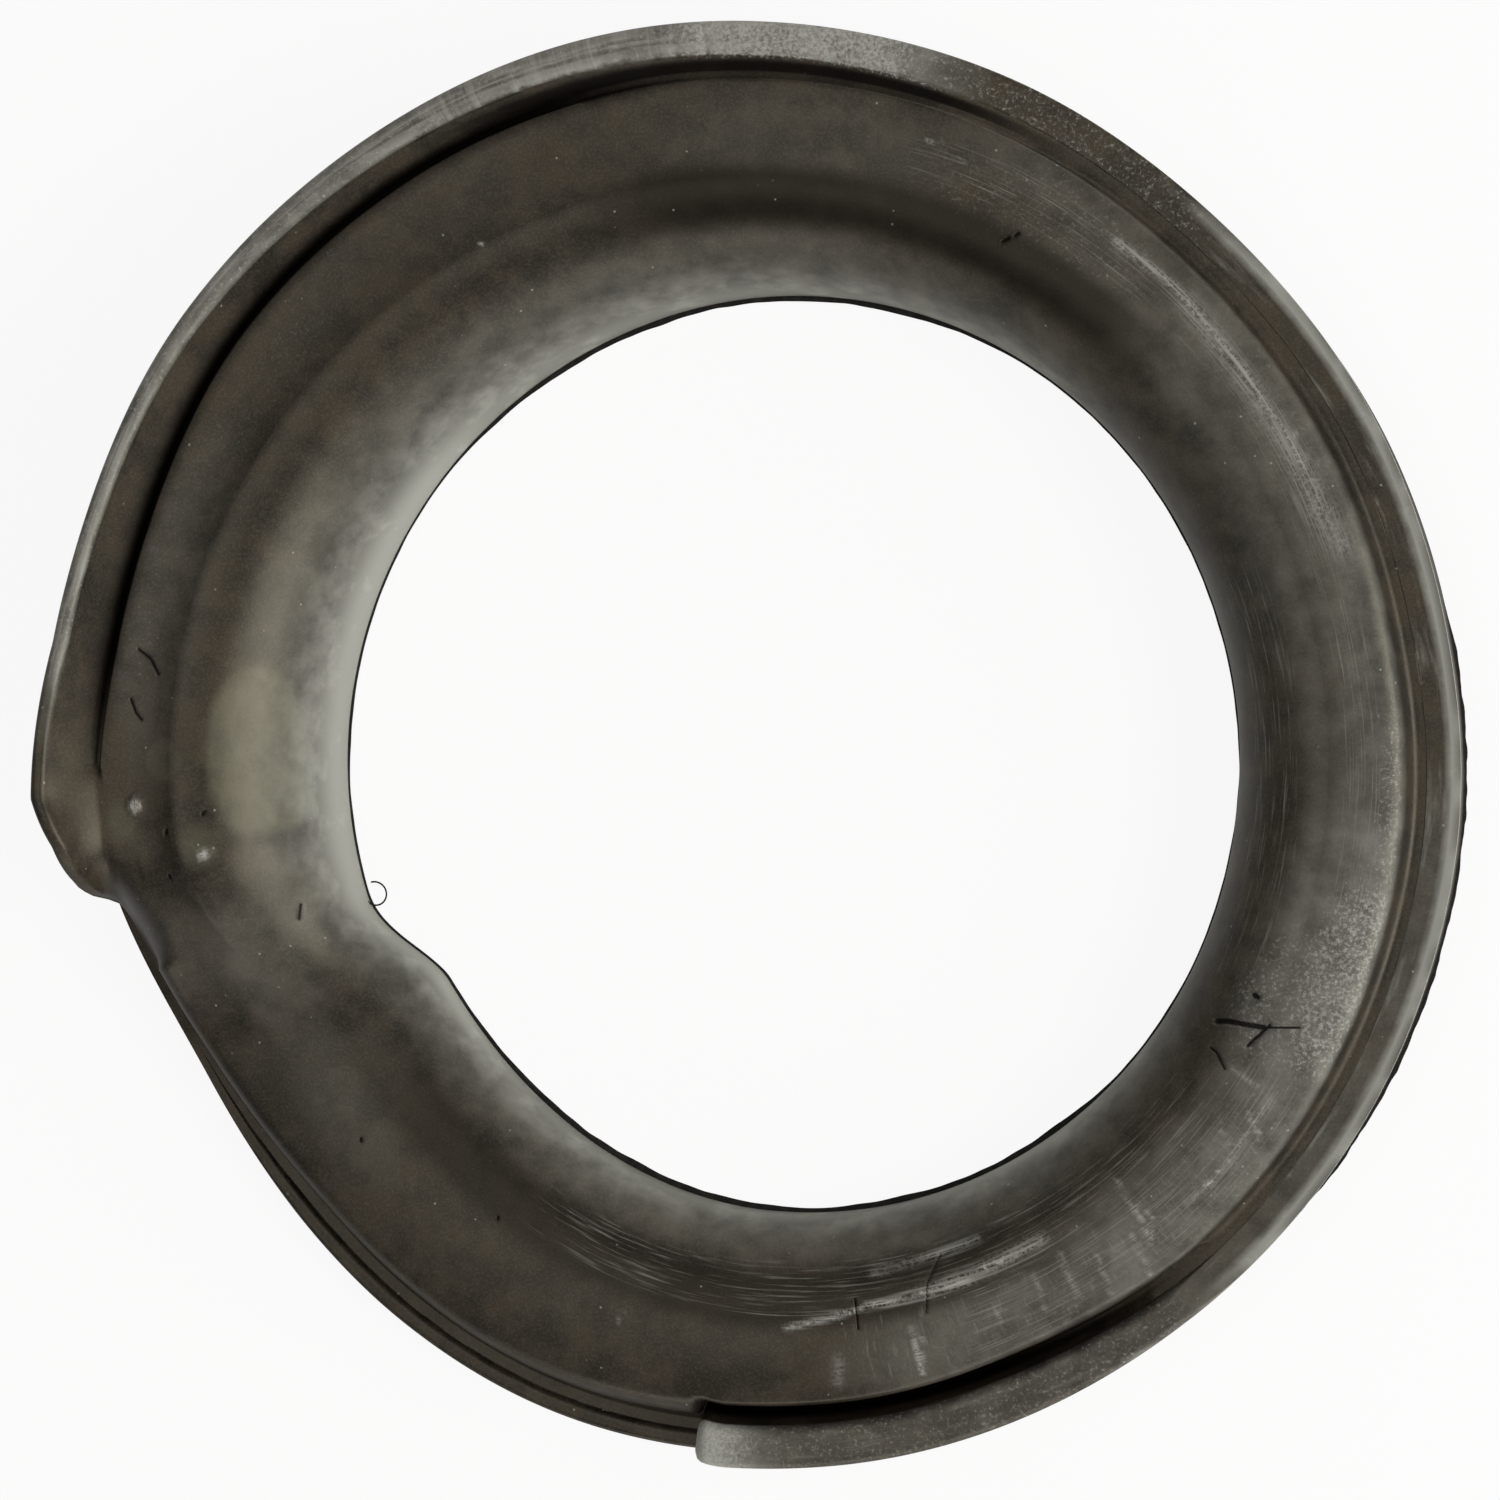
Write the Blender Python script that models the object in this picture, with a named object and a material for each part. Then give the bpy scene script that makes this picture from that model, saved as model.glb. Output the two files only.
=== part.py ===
"""Coil spring insulator: one moulded rubber ring for the end coil of a suspension spring.

The ring stands on its flat underside, with Z up. Its upper side is a helical seat that
climbs once round the ring and falls back in one step, where the cut end of the coil
butts. A lip holds the coil from outside: it starts as a tongue parted from the body by
a slit, and ends as a tall rim at the top of the step. Past the step a low flange runs on
to the lip's start. The sections are laid out round the bore's axis, and the finished
ring is then centred on the origin by its outline.
"""

from math import atan2, cos, pi, radians, sin, sqrt

import bmesh
import bpy
import numpy as np

# Angles in degrees. A turn angle is counted counter-clockwise from the foot of the step.
STEP_FOOT_BEARING = 208.0
STEP_TOP_TURN = 339.0
LIP_START_TURN = 54.6
LIP_NOSE_RISE = 1.2
LIP_NOSE_TAPER = 3.2
SLIT_CLOSE_TURN = 106.0
SLIT_FADE = 26.0
LIP_LOWEST_TURN = 150.0
LIP_SWELL_TURN = 245.0
LIP_SWELL_SPAN = 50.0
RIM_NARROWS_TURN = 245.0
RIM_NARROW_TURN = 320.0
RIM_FLARE_TURN = 323.0
RIM_FALL_TURN = 335.5
RIM_FLARE_END_TURN = 339.5
LIP_END_TURN = 344.2
TAIL_END_TURN = 361.0
FLANGE_GROWS_TURN = 354.0
FLANGE_GROWN_TURN = 378.0
GROOVE_STARTS_TURN = 200.0
GROOVE_FADES_TURN = 326.0
GROOVE_ENDS_TURN = 338.0
OVAL_TURN = 256.0
BORE_OPENS_TURN = 260.0
BORE_STEP_TURN = 350.0
BULGE_PEAK_TURN = 5.0
BULGE_END_TURN = 60.0
SHOULDER_WIDENS_TURN = 215.0
SHOULDER_WIDE_TURN = 328.0
SHOULDER_NARROW_TURN = 366.0

# Sizes in metres, on the ring's plan.
BORE_RADIUS = 0.0504
BORE_OPENING = 0.0026
BORE_BULGE = 0.0022
BORE_OVAL = 0.0008
OUTER_RADIUS = 0.0772
OUTER_OFFSET = 0.0030
OUTER_OVAL = 0.0011
FLANGE_SETBACK = 0.0007
LIP_NOSE_INSET = 0.0014
SHOULDER_WIDTH = 0.0100
SHOULDER_WIDENING = 0.0040
STEP_TOP_RUN = 0.0110
STEP_FOOT_RUN = 0.0330
LIP_WIDTH = 0.0046
LIP_SWELL = 0.0008
LIP_TOP_WIDTH = 0.0036
RIM_TOP_WIDTH = 0.0019
RIM_FLARE = 0.0014
FLANGE_WIDTH = 0.0034
TAIL_WIDTH = 0.0012
SLIT_WIDTH = 0.0019
CREASE_WIDTH = 0.0007
SLIT_EDGE_WIDTH = 0.0011
BASE_PROUD = 0.0007

# Where the soft ring lies outside its oval, or inside it below zero: turn angle, half span in
# degrees, and how far. In order: past the step, before the lip, at the slit's end, on the
# lowest lip, where the rim starts, at the rim's middle and before its end.
OUTER_BENDS = (
    (2.0, 26.0, -0.0011),
    (42.0, 24.0, 0.0007),
    (96.0, 40.0, -0.0009),
    (147.0, 18.0, 0.0003),
    (202.0, 24.0, -0.0006),
    (252.0, 30.0, 0.0006),
    (314.0, 20.0, -0.0007),
)

# Sizes in metres, above the underside.
SEAT_LOW = 0.0086
SEAT_RISE = 0.0114
SEAT_DISH = 0.0007
SEAT_CROWN = 0.0005
BORE_LAND = 0.0012
FLANGE_HEIGHT = 0.0036
TAIL_RISE = 0.0080
BASE_EDGE = 0.0011
BASE_SOFTENING = 0.0003
LIP_START_BELOW_SEAT = 0.0008
LIP_LOWEST_BELOW_SEAT = 0.0034
RIM_ABOVE_SEAT = 0.0055
SLIT_DEPTH = 0.0055
FLANGE_CREASE_DEPTH = 0.0007
LIP_CREASE_DEPTH = 0.0004
RIM_GROOVE_DEPTH = 0.0014
CREASE_HOLLOW = 0.0002
LIP_ROUND = 0.0011

# Shape ratios.
TAIL_ROLL_SHARE = 0.50
BODY_ROLL_SHARE = 0.44
LIP_ROLL_SHARE = 0.30
FLANGE_TOP_SHARE = 0.6
MOST_ROUND_SHARE = 0.45
MOST_ROUND_DEPTH_SHARE = 0.9
RIM_FALL_POWER = 2.2

# How fine the ring is cut: points of the section, stations round the turn, and how much closer
# the stations stand, over a few degrees, at the lip's start and at the rim's end.
STATIONS = 136
SHOULDER_CUTS = 10
SEAT_CUTS = 6
EDGE_CUTS = 4
ROUND_CUTS = 3
UNDERSIDE_CUTS = 3
TURN_SAMPLES = 7201
LIP_START_CROWD = 6.0
LIP_START_CROWD_SPAN = 2.5
LIP_END_CROWD = 3.5
LIP_END_CROWD_SPAN = 5.0
SHARP_ANGLE = 40.0

RUBBER_COLOUR = (0.030, 0.028, 0.024, 1.0)
RUBBER_ROUGHNESS = 0.55


def ease(value, start, end):
    """Return 0 before start, 1 after end, and a smooth rise between them."""
    share = min(max((value - start) / (end - start), 0.0), 1.0)
    return share * share * (3.0 - 2.0 * share)


def blend(low, high, share):
    """Return the value that lies at share of the way from low to high."""
    return low + (high - low) * share


def hump(turn, middle, span):
    """Return 1 at a turn angle and a smooth fall to 0 at span degrees on both sides of it."""
    away = abs((turn - middle + 180.0) % 360.0 - 180.0)
    return (1.0 + cos(pi * min(away / span, 1.0))) / 2.0


def nose(turn, span):
    """Return how far the lip's round start has grown, within span degrees, from 0 to 1."""
    left = 1.0 - min(max((turn - LIP_START_TURN) / span, 0.0), 1.0)
    return sqrt(1.0 - left * left)


def unwrap(turn):
    """Return a turn angle counted on past 360 in the first half turn, for laws that cross the step."""
    return turn if turn > 180.0 else turn + 360.0


def outer_radius(turn):
    """Return the outer wall's radius: an uneven oval, set a little to one side of the bore."""
    bearing = radians(STEP_FOOT_BEARING + turn)
    oval = OUTER_OVAL * cos(2.0 * radians(turn - OVAL_TURN))
    bends = sum(reach * hump(turn, middle, span) for middle, span, reach in OUTER_BENDS)
    return OUTER_RADIUS - OUTER_OFFSET * cos(bearing) + oval + bends


def rim_flare(turn):
    """Return how far the rim's outer wall flares out towards its end, with a corner at the widest."""
    grown = (turn - RIM_FLARE_TURN) / (RIM_FALL_TURN - RIM_FLARE_TURN)
    fallen = (RIM_FLARE_END_TURN - turn) / (RIM_FLARE_END_TURN - RIM_FALL_TURN)
    return RIM_FLARE * max(min(grown, fallen), 0.0)


def bore_radius(turn):
    """Return the bore's radius, which opens up to the step and bulges in after it."""
    oval = BORE_OVAL * cos(2.0 * radians(turn - OVAL_TURN))
    past = turn if turn >= BORE_STEP_TURN else turn + 360.0
    peak = 360.0 + BULGE_PEAK_TURN
    end = 360.0 + BULGE_END_TURN
    if past > end:
        return BORE_RADIUS + oval + BORE_OPENING * ease(turn, BORE_OPENS_TURN, BORE_STEP_TURN)
    widened = blend(BORE_OPENING, -BORE_BULGE, ease(past, BORE_STEP_TURN, peak))
    return BORE_RADIUS + oval + widened + BORE_BULGE * ease(past, peak, end)


def shoulder_width(turn):
    """Return how wide the slope from the bore up to the seat is: widest where the seat is highest."""
    past = unwrap(turn)
    grown = ease(past, SHOULDER_WIDENS_TURN, SHOULDER_WIDE_TURN)
    kept = 1.0 - ease(past, STEP_TOP_TURN, SHOULDER_NARROW_TURN)
    return SHOULDER_WIDTH + SHOULDER_WIDENING * grown * kept


def seat_height(turn, radius):
    """Return the helical seat's height: a steady climb, then a straight slope back down.

    Args:
        turn: Turn angle, in degrees.
        radius: Distance from the axis, which places the point along the step's slope.
    """
    bearing = radians(STEP_FOOT_BEARING + turn)
    past = unwrap(turn)
    upper = SEAT_LOW + SEAT_RISE * min(past, STEP_TOP_TURN) / STEP_TOP_TURN
    lower = SEAT_LOW + SEAT_RISE * max(past - 360.0, 0.0) / STEP_TOP_TURN
    if turn <= 180.0 and cos(bearing) > 0.0:
        return lower
    return blend(upper, lower, ease(-radius * sin(bearing), STEP_TOP_RUN, STEP_FOOT_RUN))


def lip_presence(turn):
    """Return 1 where the lip stands and 0 on the low flange, with a round fall at the rim's end."""
    fallen = min(max((turn - RIM_FALL_TURN) / (LIP_END_TURN - RIM_FALL_TURN), 0.0), 1.0)
    return nose(turn, LIP_NOSE_RISE) * (1.0 - fallen**RIM_FALL_POWER) ** (1.0 / RIM_FALL_POWER)


def flange_growth(turn):
    """Return 0 at the step, where the body has no flange, and 1 where the flange is full."""
    return ease(unwrap(turn), FLANGE_GROWS_TURN, FLANGE_GROWN_TURN)


def lip_height(turn):
    """Return the height of the lip's top, or of the flange where there is no lip."""
    sink = blend(LIP_START_BELOW_SEAT, LIP_LOWEST_BELOW_SEAT, ease(turn, LIP_START_TURN, LIP_LOWEST_TURN))
    lift = blend(-sink, RIM_ABOVE_SEAT, ease(turn, LIP_LOWEST_TURN, RIM_FALL_TURN))
    climb = SEAT_LOW + SEAT_RISE * turn / STEP_TOP_TURN
    flange = FLANGE_HEIGHT + TAIL_RISE * (1.0 - ease(unwrap(turn), RIM_FALL_TURN, TAIL_END_TURN))
    return blend(flange, climb + lift, lip_presence(turn))


def arc(centre, reach, start, end, cuts):
    """Return points on an ellipse's arc in the section plane, without the first one.

    Args:
        centre: Radius and height of the ellipse's centre.
        reach: The ellipse's half width and half height.
        start: Angle of the arc's start, in degrees.
        end: Angle of the arc's end, in degrees.
        cuts: Number of points.
    """
    angles = np.radians(np.linspace(start, end, cuts + 1)[1:])
    return [(centre[0] + reach[0] * cos(a), centre[1] + reach[1] * sin(a)) for a in angles]


def section(turn):
    """Return the ring's closed section at a turn angle, as radius and height pairs."""
    present = lip_presence(turn)
    grown = flange_growth(turn)
    rimmed = ease(turn, LIP_LOWEST_TURN, RIM_FALL_TURN) * ease(360.0 - turn, 0.0, 360.0 - LIP_END_TURN)
    slit = present * (1.0 - ease(turn, SLIT_CLOSE_TURN - SLIT_FADE, SLIT_CLOSE_TURN))

    bore = bore_radius(turn)
    crest = bore + shoulder_width(turn)
    setback = FLANGE_SETBACK * (1.0 - present) + LIP_NOSE_INSET * present * (1.0 - nose(turn, LIP_NOSE_TAPER))
    inside = outer_radius(turn) - setback
    outer = inside + rim_flare(turn)
    lip_top = lip_height(turn)
    flange_width = blend(TAIL_WIDTH, FLANGE_WIDTH, grown)
    lip_width = LIP_WIDTH + LIP_SWELL * hump(turn, LIP_SWELL_TURN, LIP_SWELL_SPAN)
    lip_foot = inside - blend(flange_width, lip_width, present)
    body_edge = lip_foot - blend(CREASE_WIDTH, SLIT_WIDTH, slit)
    edge_height = seat_height(turn, body_edge)
    kept = 1.0 - ease(turn, GROOVE_FADES_TURN, GROOVE_ENDS_TURN)
    groove = blend(LIP_CREASE_DEPTH, RIM_GROOVE_DEPTH, kept * ease(turn, GROOVE_STARTS_TURN, LIP_SWELL_TURN))
    crease = blend(blend(FLANGE_CREASE_DEPTH * grown, groove, present), SLIT_DEPTH, slit)
    valley = min(edge_height, lip_top) - crease
    roll_share = blend(blend(TAIL_ROLL_SHARE, BODY_ROLL_SHARE, grown), LIP_ROLL_SHARE, present)
    roll = blend(roll_share * (edge_height - valley), SLIT_EDGE_WIDTH, slit)
    seat_end = body_edge - roll
    lip_top_width = blend(LIP_TOP_WIDTH, RIM_TOP_WIDTH, ease(turn, RIM_NARROWS_TURN, RIM_NARROW_TURN))
    top_width = blend(flange_width * FLANGE_TOP_SHARE, lip_top_width, present)
    rounding = min(LIP_ROUND, top_width * MOST_ROUND_SHARE, (lip_top - valley) * MOST_ROUND_DEPTH_SHARE)

    points = [(bore, 0.0), (bore, BORE_LAND)]
    rise = seat_height(turn, crest) - BORE_LAND
    points += arc((crest, BORE_LAND), (crest - bore, rise), 180.0, 90.0, SHOULDER_CUTS)
    for share in np.linspace(0.0, 1.0, SEAT_CUTS + 1)[1:]:
        swell = blend(SEAT_CROWN, -SEAT_DISH, rimmed) * 4.0 * share * (1.0 - share)
        radius = blend(crest, seat_end, share)
        points.append((radius, seat_height(turn, radius) + swell))
    drop = seat_height(turn, seat_end) - valley
    points += arc((seat_end, valley), (roll, drop), 90.0, 0.0, EDGE_CUTS)
    points.append(((body_edge + lip_foot) / 2.0, valley - CREASE_HOLLOW))
    points.append((lip_foot, valley))
    face_top = lip_top - rounding
    inner_top = outer - top_width
    points += arc((inner_top + rounding, face_top), (rounding, rounding), 180.0, 90.0, ROUND_CUTS)
    points += arc((outer - rounding, face_top), (rounding, rounding), 90.0, 0.0, ROUND_CUTS)
    foot = outer + BASE_PROUD
    points += [(outer, BASE_EDGE), (foot, BASE_EDGE - BASE_SOFTENING), (foot, 0.0)]
    for share in np.linspace(0.0, 1.0, UNDERSIDE_CUTS + 1)[1:-1]:
        points.append((blend(foot, bore, share), 0.0))
    return points


def station_turns():
    """Return the turn angles of the stations, crowded at the lip's start and the rim's end."""
    fine = np.linspace(0.0, 360.0, TURN_SAMPLES)
    start_crowd = LIP_START_CROWD * np.exp(-(((fine - LIP_START_TURN) / LIP_START_CROWD_SPAN) ** 2))
    end_crowd = LIP_END_CROWD * np.exp(-(((fine - LIP_END_TURN) / LIP_END_CROWD_SPAN) ** 2))
    crowd = 1.0 + start_crowd + end_crowd
    travelled = np.concatenate(([0.0], np.cumsum((crowd[1:] + crowd[:-1]) / 2.0)))
    return np.interp(np.linspace(0.0, travelled[-1], STATIONS + 1)[:-1], travelled, fine)


def centre_outline(mesh):
    """Move the ring sideways until the middle of its outline lies over the origin."""
    xs = [vertex.co.x for vertex in mesh.verts]
    ys = [vertex.co.y for vertex in mesh.verts]
    shift = (-(min(xs) + max(xs)) / 2.0, -(min(ys) + max(ys)) / 2.0, 0.0)
    bmesh.ops.translate(mesh, verts=mesh.verts, vec=shift)


def build_ring():
    """Spin the first section once round, then set each ring of points on its own section."""
    mesh = bmesh.new()
    row_of = mesh.verts.layers.int.new("row")
    outline = [mesh.verts.new((radius, 0.0, height)) for radius, height in section(0.0)]
    for row, vertex in enumerate(outline):
        vertex[row_of] = row
    edges = [mesh.edges.new((outline[i - 1], outline[i])) for i in range(len(outline))]
    bmesh.ops.spin(
        mesh,
        geom=outline + edges,
        cent=(0.0, 0.0, 0.0),
        axis=(0.0, 0.0, 1.0),
        angle=2.0 * pi,
        steps=STATIONS,
        use_merge=True,
    )
    turns = station_turns()
    sections = [section(turn) for turn in turns]
    for vertex in mesh.verts:
        station = round(atan2(vertex.co.y, vertex.co.x) / (2.0 * pi) * STATIONS) % STATIONS
        bearing = radians(STEP_FOOT_BEARING + turns[station])
        radius, height = sections[station][vertex[row_of]]
        vertex.co = (radius * cos(bearing), radius * sin(bearing), height)
    centre_outline(mesh)
    bmesh.ops.recalc_face_normals(mesh, faces=mesh.faces)
    if mesh.calc_volume(signed=True) < 0.0:
        bmesh.ops.reverse_faces(mesh, faces=mesh.faces)
    return mesh


def rubber():
    """Return the material: dark, slightly brown moulded rubber."""
    material = bpy.data.materials.new("moulded_rubber")
    material.use_nodes = True
    shader = material.node_tree.nodes["Principled BSDF"]
    shader.inputs["Base Color"].default_value = RUBBER_COLOUR
    shader.inputs["Roughness"].default_value = RUBBER_ROUGHNESS
    shader.inputs["Metallic"].default_value = 0.0
    return material


def main():
    """Clear the scene and build the insulator."""
    for item in list(bpy.data.objects):
        bpy.data.objects.remove(item, do_unlink=True)
    ring = build_ring()
    data = bpy.data.meshes.new("spring_insulator")
    ring.to_mesh(data)
    ring.free()
    insulator = bpy.data.objects.new("spring_insulator", data)
    bpy.context.scene.collection.objects.link(insulator)
    data.materials.append(rubber())
    data.shade_smooth()
    data.set_sharp_from_angle(angle=radians(SHARP_ANGLE))


if __name__ == "__main__":
    main()
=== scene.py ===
"""Dress the coil spring insulator: fine moulded surface, mould flash, wear and a plain studio.

Places on the ring are given by a turn angle, in degrees counter-clockwise from the foot of the step
as seen from above, and a radius from the bore's axis, in metres.
"""
import logging
from dataclasses import dataclass, field
from enum import Enum
from functools import cached_property
from math import atan2, cos, degrees, exp, hypot, pi, radians, sin, sqrt
from typing import Callable, Sequence

import bmesh
import bpy
from mathutils import Matrix, Vector, noise


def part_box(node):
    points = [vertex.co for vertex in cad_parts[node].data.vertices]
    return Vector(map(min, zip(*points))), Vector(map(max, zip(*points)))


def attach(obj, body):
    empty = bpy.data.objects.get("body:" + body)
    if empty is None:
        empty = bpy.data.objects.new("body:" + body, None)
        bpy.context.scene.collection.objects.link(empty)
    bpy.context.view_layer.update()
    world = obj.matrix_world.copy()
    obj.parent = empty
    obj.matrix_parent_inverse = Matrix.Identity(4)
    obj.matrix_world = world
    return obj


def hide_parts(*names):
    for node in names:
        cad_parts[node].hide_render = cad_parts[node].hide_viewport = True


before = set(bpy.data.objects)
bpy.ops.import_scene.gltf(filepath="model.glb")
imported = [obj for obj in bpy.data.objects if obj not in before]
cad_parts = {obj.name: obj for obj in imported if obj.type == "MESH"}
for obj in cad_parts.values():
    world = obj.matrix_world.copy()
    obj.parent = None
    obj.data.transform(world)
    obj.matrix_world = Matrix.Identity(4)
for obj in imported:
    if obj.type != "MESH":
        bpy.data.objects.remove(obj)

log = logging.getLogger("insulator")
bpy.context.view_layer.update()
BODY = "root"
NODE = "spring_insulator"
MM = 0.001
MM_PER_METRE = 1000.0
SPIN_CUTS = 6
MARK_MARGIN = 2.0
SHARP_ANGLE = 75.0
LIP_NOSE_EDGE = 54.7
WHITE = "ffffff"
# The layers hold wear and painted light: the film layer also holds highlight, the last two hold shade.
WEAR_AND_PAINTED_LIGHT_LAYERS = ("film_and_highlight", "frost", "streak", "scuff", "stain", "cut", "rub", "painted_shade", "painted_shade_band")

Point = tuple[float, float]
Layer = bmesh.types.BMLayerItem
Socket = bpy.types.NodeSocket


def ease(value: float, start: float, end: float) -> float:
    """Return 0 before start, 1 after end, and a smooth rise between them."""
    share = min(max((value - start) / (end - start), 0.0), 1.0)
    return share * share * (3.0 - 2.0 * share)


def blend(low: float, high: float, share: float) -> float:
    """Return the value that lies at share of the way from low to high."""
    return low + (high - low) * share


def window(value: float, start: float, end: float, soft: float) -> float:
    """Return 1 between start and end, with soft shoulders outside them."""
    return ease(value, start - soft, start) * (1.0 - ease(value, end, end + soft))


def turn_apart(first: float, second: float) -> float:
    """Return the signed angle in degrees from second to first, the short way round."""
    return (first - second + 180.0) % 360.0 - 180.0


def hump(turn: float, middle: float, span: float) -> float:
    """Return 1 at a turn angle and a smooth fall to 0 at span degrees on both sides of it."""
    return (1.0 + cos(pi * min(abs(turn_apart(turn, middle)) / span, 1.0))) / 2.0


def unwrap(turn: float) -> float:
    """Return a turn angle counted on past 360 in the first half turn."""
    return turn if turn > 180.0 else turn + 360.0


def linear(hex_colour: str) -> tuple[float, float, float, float]:
    """Turn an sRGB hex colour into a linear RGBA colour.

    Args:
        hex_colour: Six hex digits, such as "3c3a36".

    Returns:
        Red, green, blue and an alpha of 1.
    """
    channels = [int(hex_colour[i:i + 2], 16) / 255.0 for i in (0, 2, 4)]
    red, green, blue = (c / 12.92 if c <= 0.04045 else ((c + 0.055) / 1.055) ** 2.4 for c in channels)
    return red, green, blue, 1.0


def add_node(tree: bpy.types.NodeTree, kind: str, settings: dict[str | int, object] | None = None,
             links: dict[str | int, Socket] | None = None) -> bpy.types.Node:
    """Add a shader node with its settings and links.

    Args:
        tree: Node tree that takes the node.
        kind: Node type without its ShaderNode prefix.
        settings: Property names or input keys, and their values.
        links: Input keys, and the output sockets that feed them.

    Returns:
        The new node.
    """
    node = tree.nodes.new("ShaderNode" + kind)
    for key, value in (settings or {}).items():
        if isinstance(key, str) and hasattr(node, key):
            setattr(node, key, value)
        else:
            node.inputs[key].default_value = value
    for key, socket in (links or {}).items():
        tree.links.new(socket, node.inputs[key])
    return node


@dataclass(frozen=True)
class RingLaws:
    """How the ring's section changes along its turn. Sizes are in metres, angles in degrees."""

    step_foot_bearing: float = 208.0
    step_top_turn: float = 339.0
    lip_start_turn: float = 54.6
    nose_rise: float = 1.2
    nose_taper: float = 3.2
    slit_close_turn: float = 106.0
    slit_fade: float = 26.0
    lip_lowest_turn: float = 150.0
    swell_turn: float = 245.0
    swell_span: float = 50.0
    rim_narrows_turn: float = 245.0
    rim_narrow_turn: float = 320.0
    flare_turn: float = 323.0
    rim_fall_turn: float = 335.5
    flare_end_turn: float = 339.5
    lip_end_turn: float = 344.2
    tail_end_turn: float = 361.0
    flange_grows_turn: float = 354.0
    flange_grown_turn: float = 378.0
    groove_starts_turn: float = 200.0
    groove_fades_turn: float = 326.0
    groove_ends_turn: float = 338.0
    oval_turn: float = 256.0
    bore_opens_turn: float = 260.0
    bore_step_turn: float = 350.0
    bulge_peak_turn: float = 5.0
    bulge_end_turn: float = 60.0
    shoulder_widens_turn: float = 215.0
    shoulder_wide_turn: float = 328.0
    shoulder_narrow_turn: float = 366.0

    bore: float = 0.0504
    bore_opening: float = 0.0026
    bore_bulge: float = 0.0022
    bore_oval: float = 0.0008
    outer: float = 0.0772
    outer_offset: float = 0.0030
    outer_oval: float = 0.0011
    flange_setback: float = 0.0007
    nose_inset: float = 0.0014
    shoulder: float = 0.0100
    shoulder_widening: float = 0.0040
    step_top_run: float = 0.0110
    step_foot_run: float = 0.0330
    lip_width: float = 0.0046
    lip_swell: float = 0.0008
    lip_top_width: float = 0.0036
    rim_top_width: float = 0.0019
    rim_flare: float = 0.0014
    flange_width: float = 0.0034
    tail_width: float = 0.0012
    slit_width: float = 0.0019
    crease_width: float = 0.0007
    slit_edge_width: float = 0.0011
    base_proud: float = 0.0007
    # Each bend of the outer wall: the turn angle of its middle, its span and its reach outwards.
    bends: Sequence[tuple[float, float, float]] = (
        (2.0, 26.0, -0.0011), (42.0, 24.0, 0.0007), (96.0, 40.0, -0.0009), (147.0, 18.0, 0.0003),
        (202.0, 24.0, -0.0006), (252.0, 30.0, 0.0006), (314.0, 20.0, -0.0007),
    )

    seat_low: float = 0.0086
    seat_rise: float = 0.0114
    seat_dish: float = 0.0007
    seat_crown: float = 0.0005
    bore_land: float = 0.0012
    flange_height: float = 0.0036
    tail_rise: float = 0.0080
    lip_start_sink: float = 0.0008
    lip_lowest_sink: float = 0.0034
    rim_above_seat: float = 0.0055
    slit_depth: float = 0.0055
    flange_crease: float = 0.0007
    lip_crease: float = 0.0004
    rim_groove: float = 0.0014
    crease_hollow: float = 0.0002
    lip_round: float = 0.0011
    base_edge: float = 0.0011

    tail_roll: float = 0.50
    body_roll: float = 0.44
    lip_roll: float = 0.30
    flange_top_share: float = 0.6
    rim_fall_power: float = 2.2

    @cached_property
    def axis(self) -> Point:
        """Return where the bore's axis stands: the outline's middle lies over the CAD box's middle.

        Returns:
            The axis's x and y in the world.
        """
        xs, ys = [], []
        for i in range(3600):
            turn = i / 10.0
            inside = self.outer_radius(turn) - self.setback(turn)
            reach = inside + self.flare(turn) + self.base_proud
            xs.append(reach * cos(self.bearing(turn)))
            ys.append(reach * sin(self.bearing(turn)))
        low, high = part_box(NODE)
        return ((low.x + high.x - min(xs) - max(xs)) / 2.0, (low.y + high.y - min(ys) - max(ys)) / 2.0)

    def bearing(self, turn: float) -> float:
        """Return the bearing of a turn angle from +X, in radians."""
        return radians(self.step_foot_bearing + turn)

    def place(self, turn: float, radius: float, height: float = 0.0) -> Vector:
        """Return the world point at a turn angle, radius and height."""
        bearing = self.bearing(turn)
        return Vector((self.axis[0] + radius * cos(bearing), self.axis[1] + radius * sin(bearing), height))

    def turn_of(self, x: float, y: float) -> float:
        """Return the turn angle of a point given from the axis."""
        return (degrees(atan2(y, x)) - self.step_foot_bearing) % 360.0

    def outer_radius(self, turn: float) -> float:
        """Return the outer wall's radius: an uneven oval, set a little to one side of the bore.

        Args:
            turn: Turn angle in degrees.

        Returns:
            The radius, without the setback and the flare.
        """
        oval = self.outer_oval * cos(2.0 * radians(turn - self.oval_turn))
        bends = sum(reach * hump(turn, middle, span) for middle, span, reach in self.bends)
        return self.outer - self.outer_offset * cos(self.bearing(turn)) + oval + bends

    def setback(self, turn: float) -> float:
        """Return how far the flange and the lip's round start lie inside the outer wall.

        Args:
            turn: Turn angle in degrees.

        Returns:
            The setback.
        """
        present = self.lip_presence(turn)
        inset = self.nose_inset * present * (1.0 - self.nose(turn, self.nose_taper))
        return self.flange_setback * (1.0 - present) + inset

    def flare(self, turn: float) -> float:
        """Return how far the rim's outer wall flares out towards its end.

        Args:
            turn: Turn angle in degrees.

        Returns:
            The flare, 0 away from the rim's end.
        """
        grown = (turn - self.flare_turn) / (self.rim_fall_turn - self.flare_turn)
        fallen = (self.flare_end_turn - turn) / (self.flare_end_turn - self.rim_fall_turn)
        return self.rim_flare * max(min(grown, fallen), 0.0)

    def wall_radius(self, turn: float) -> float:
        """Return the radius of the outer wall's face."""
        return self.outer_radius(turn) - self.setback(turn) + self.flare(turn)

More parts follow.
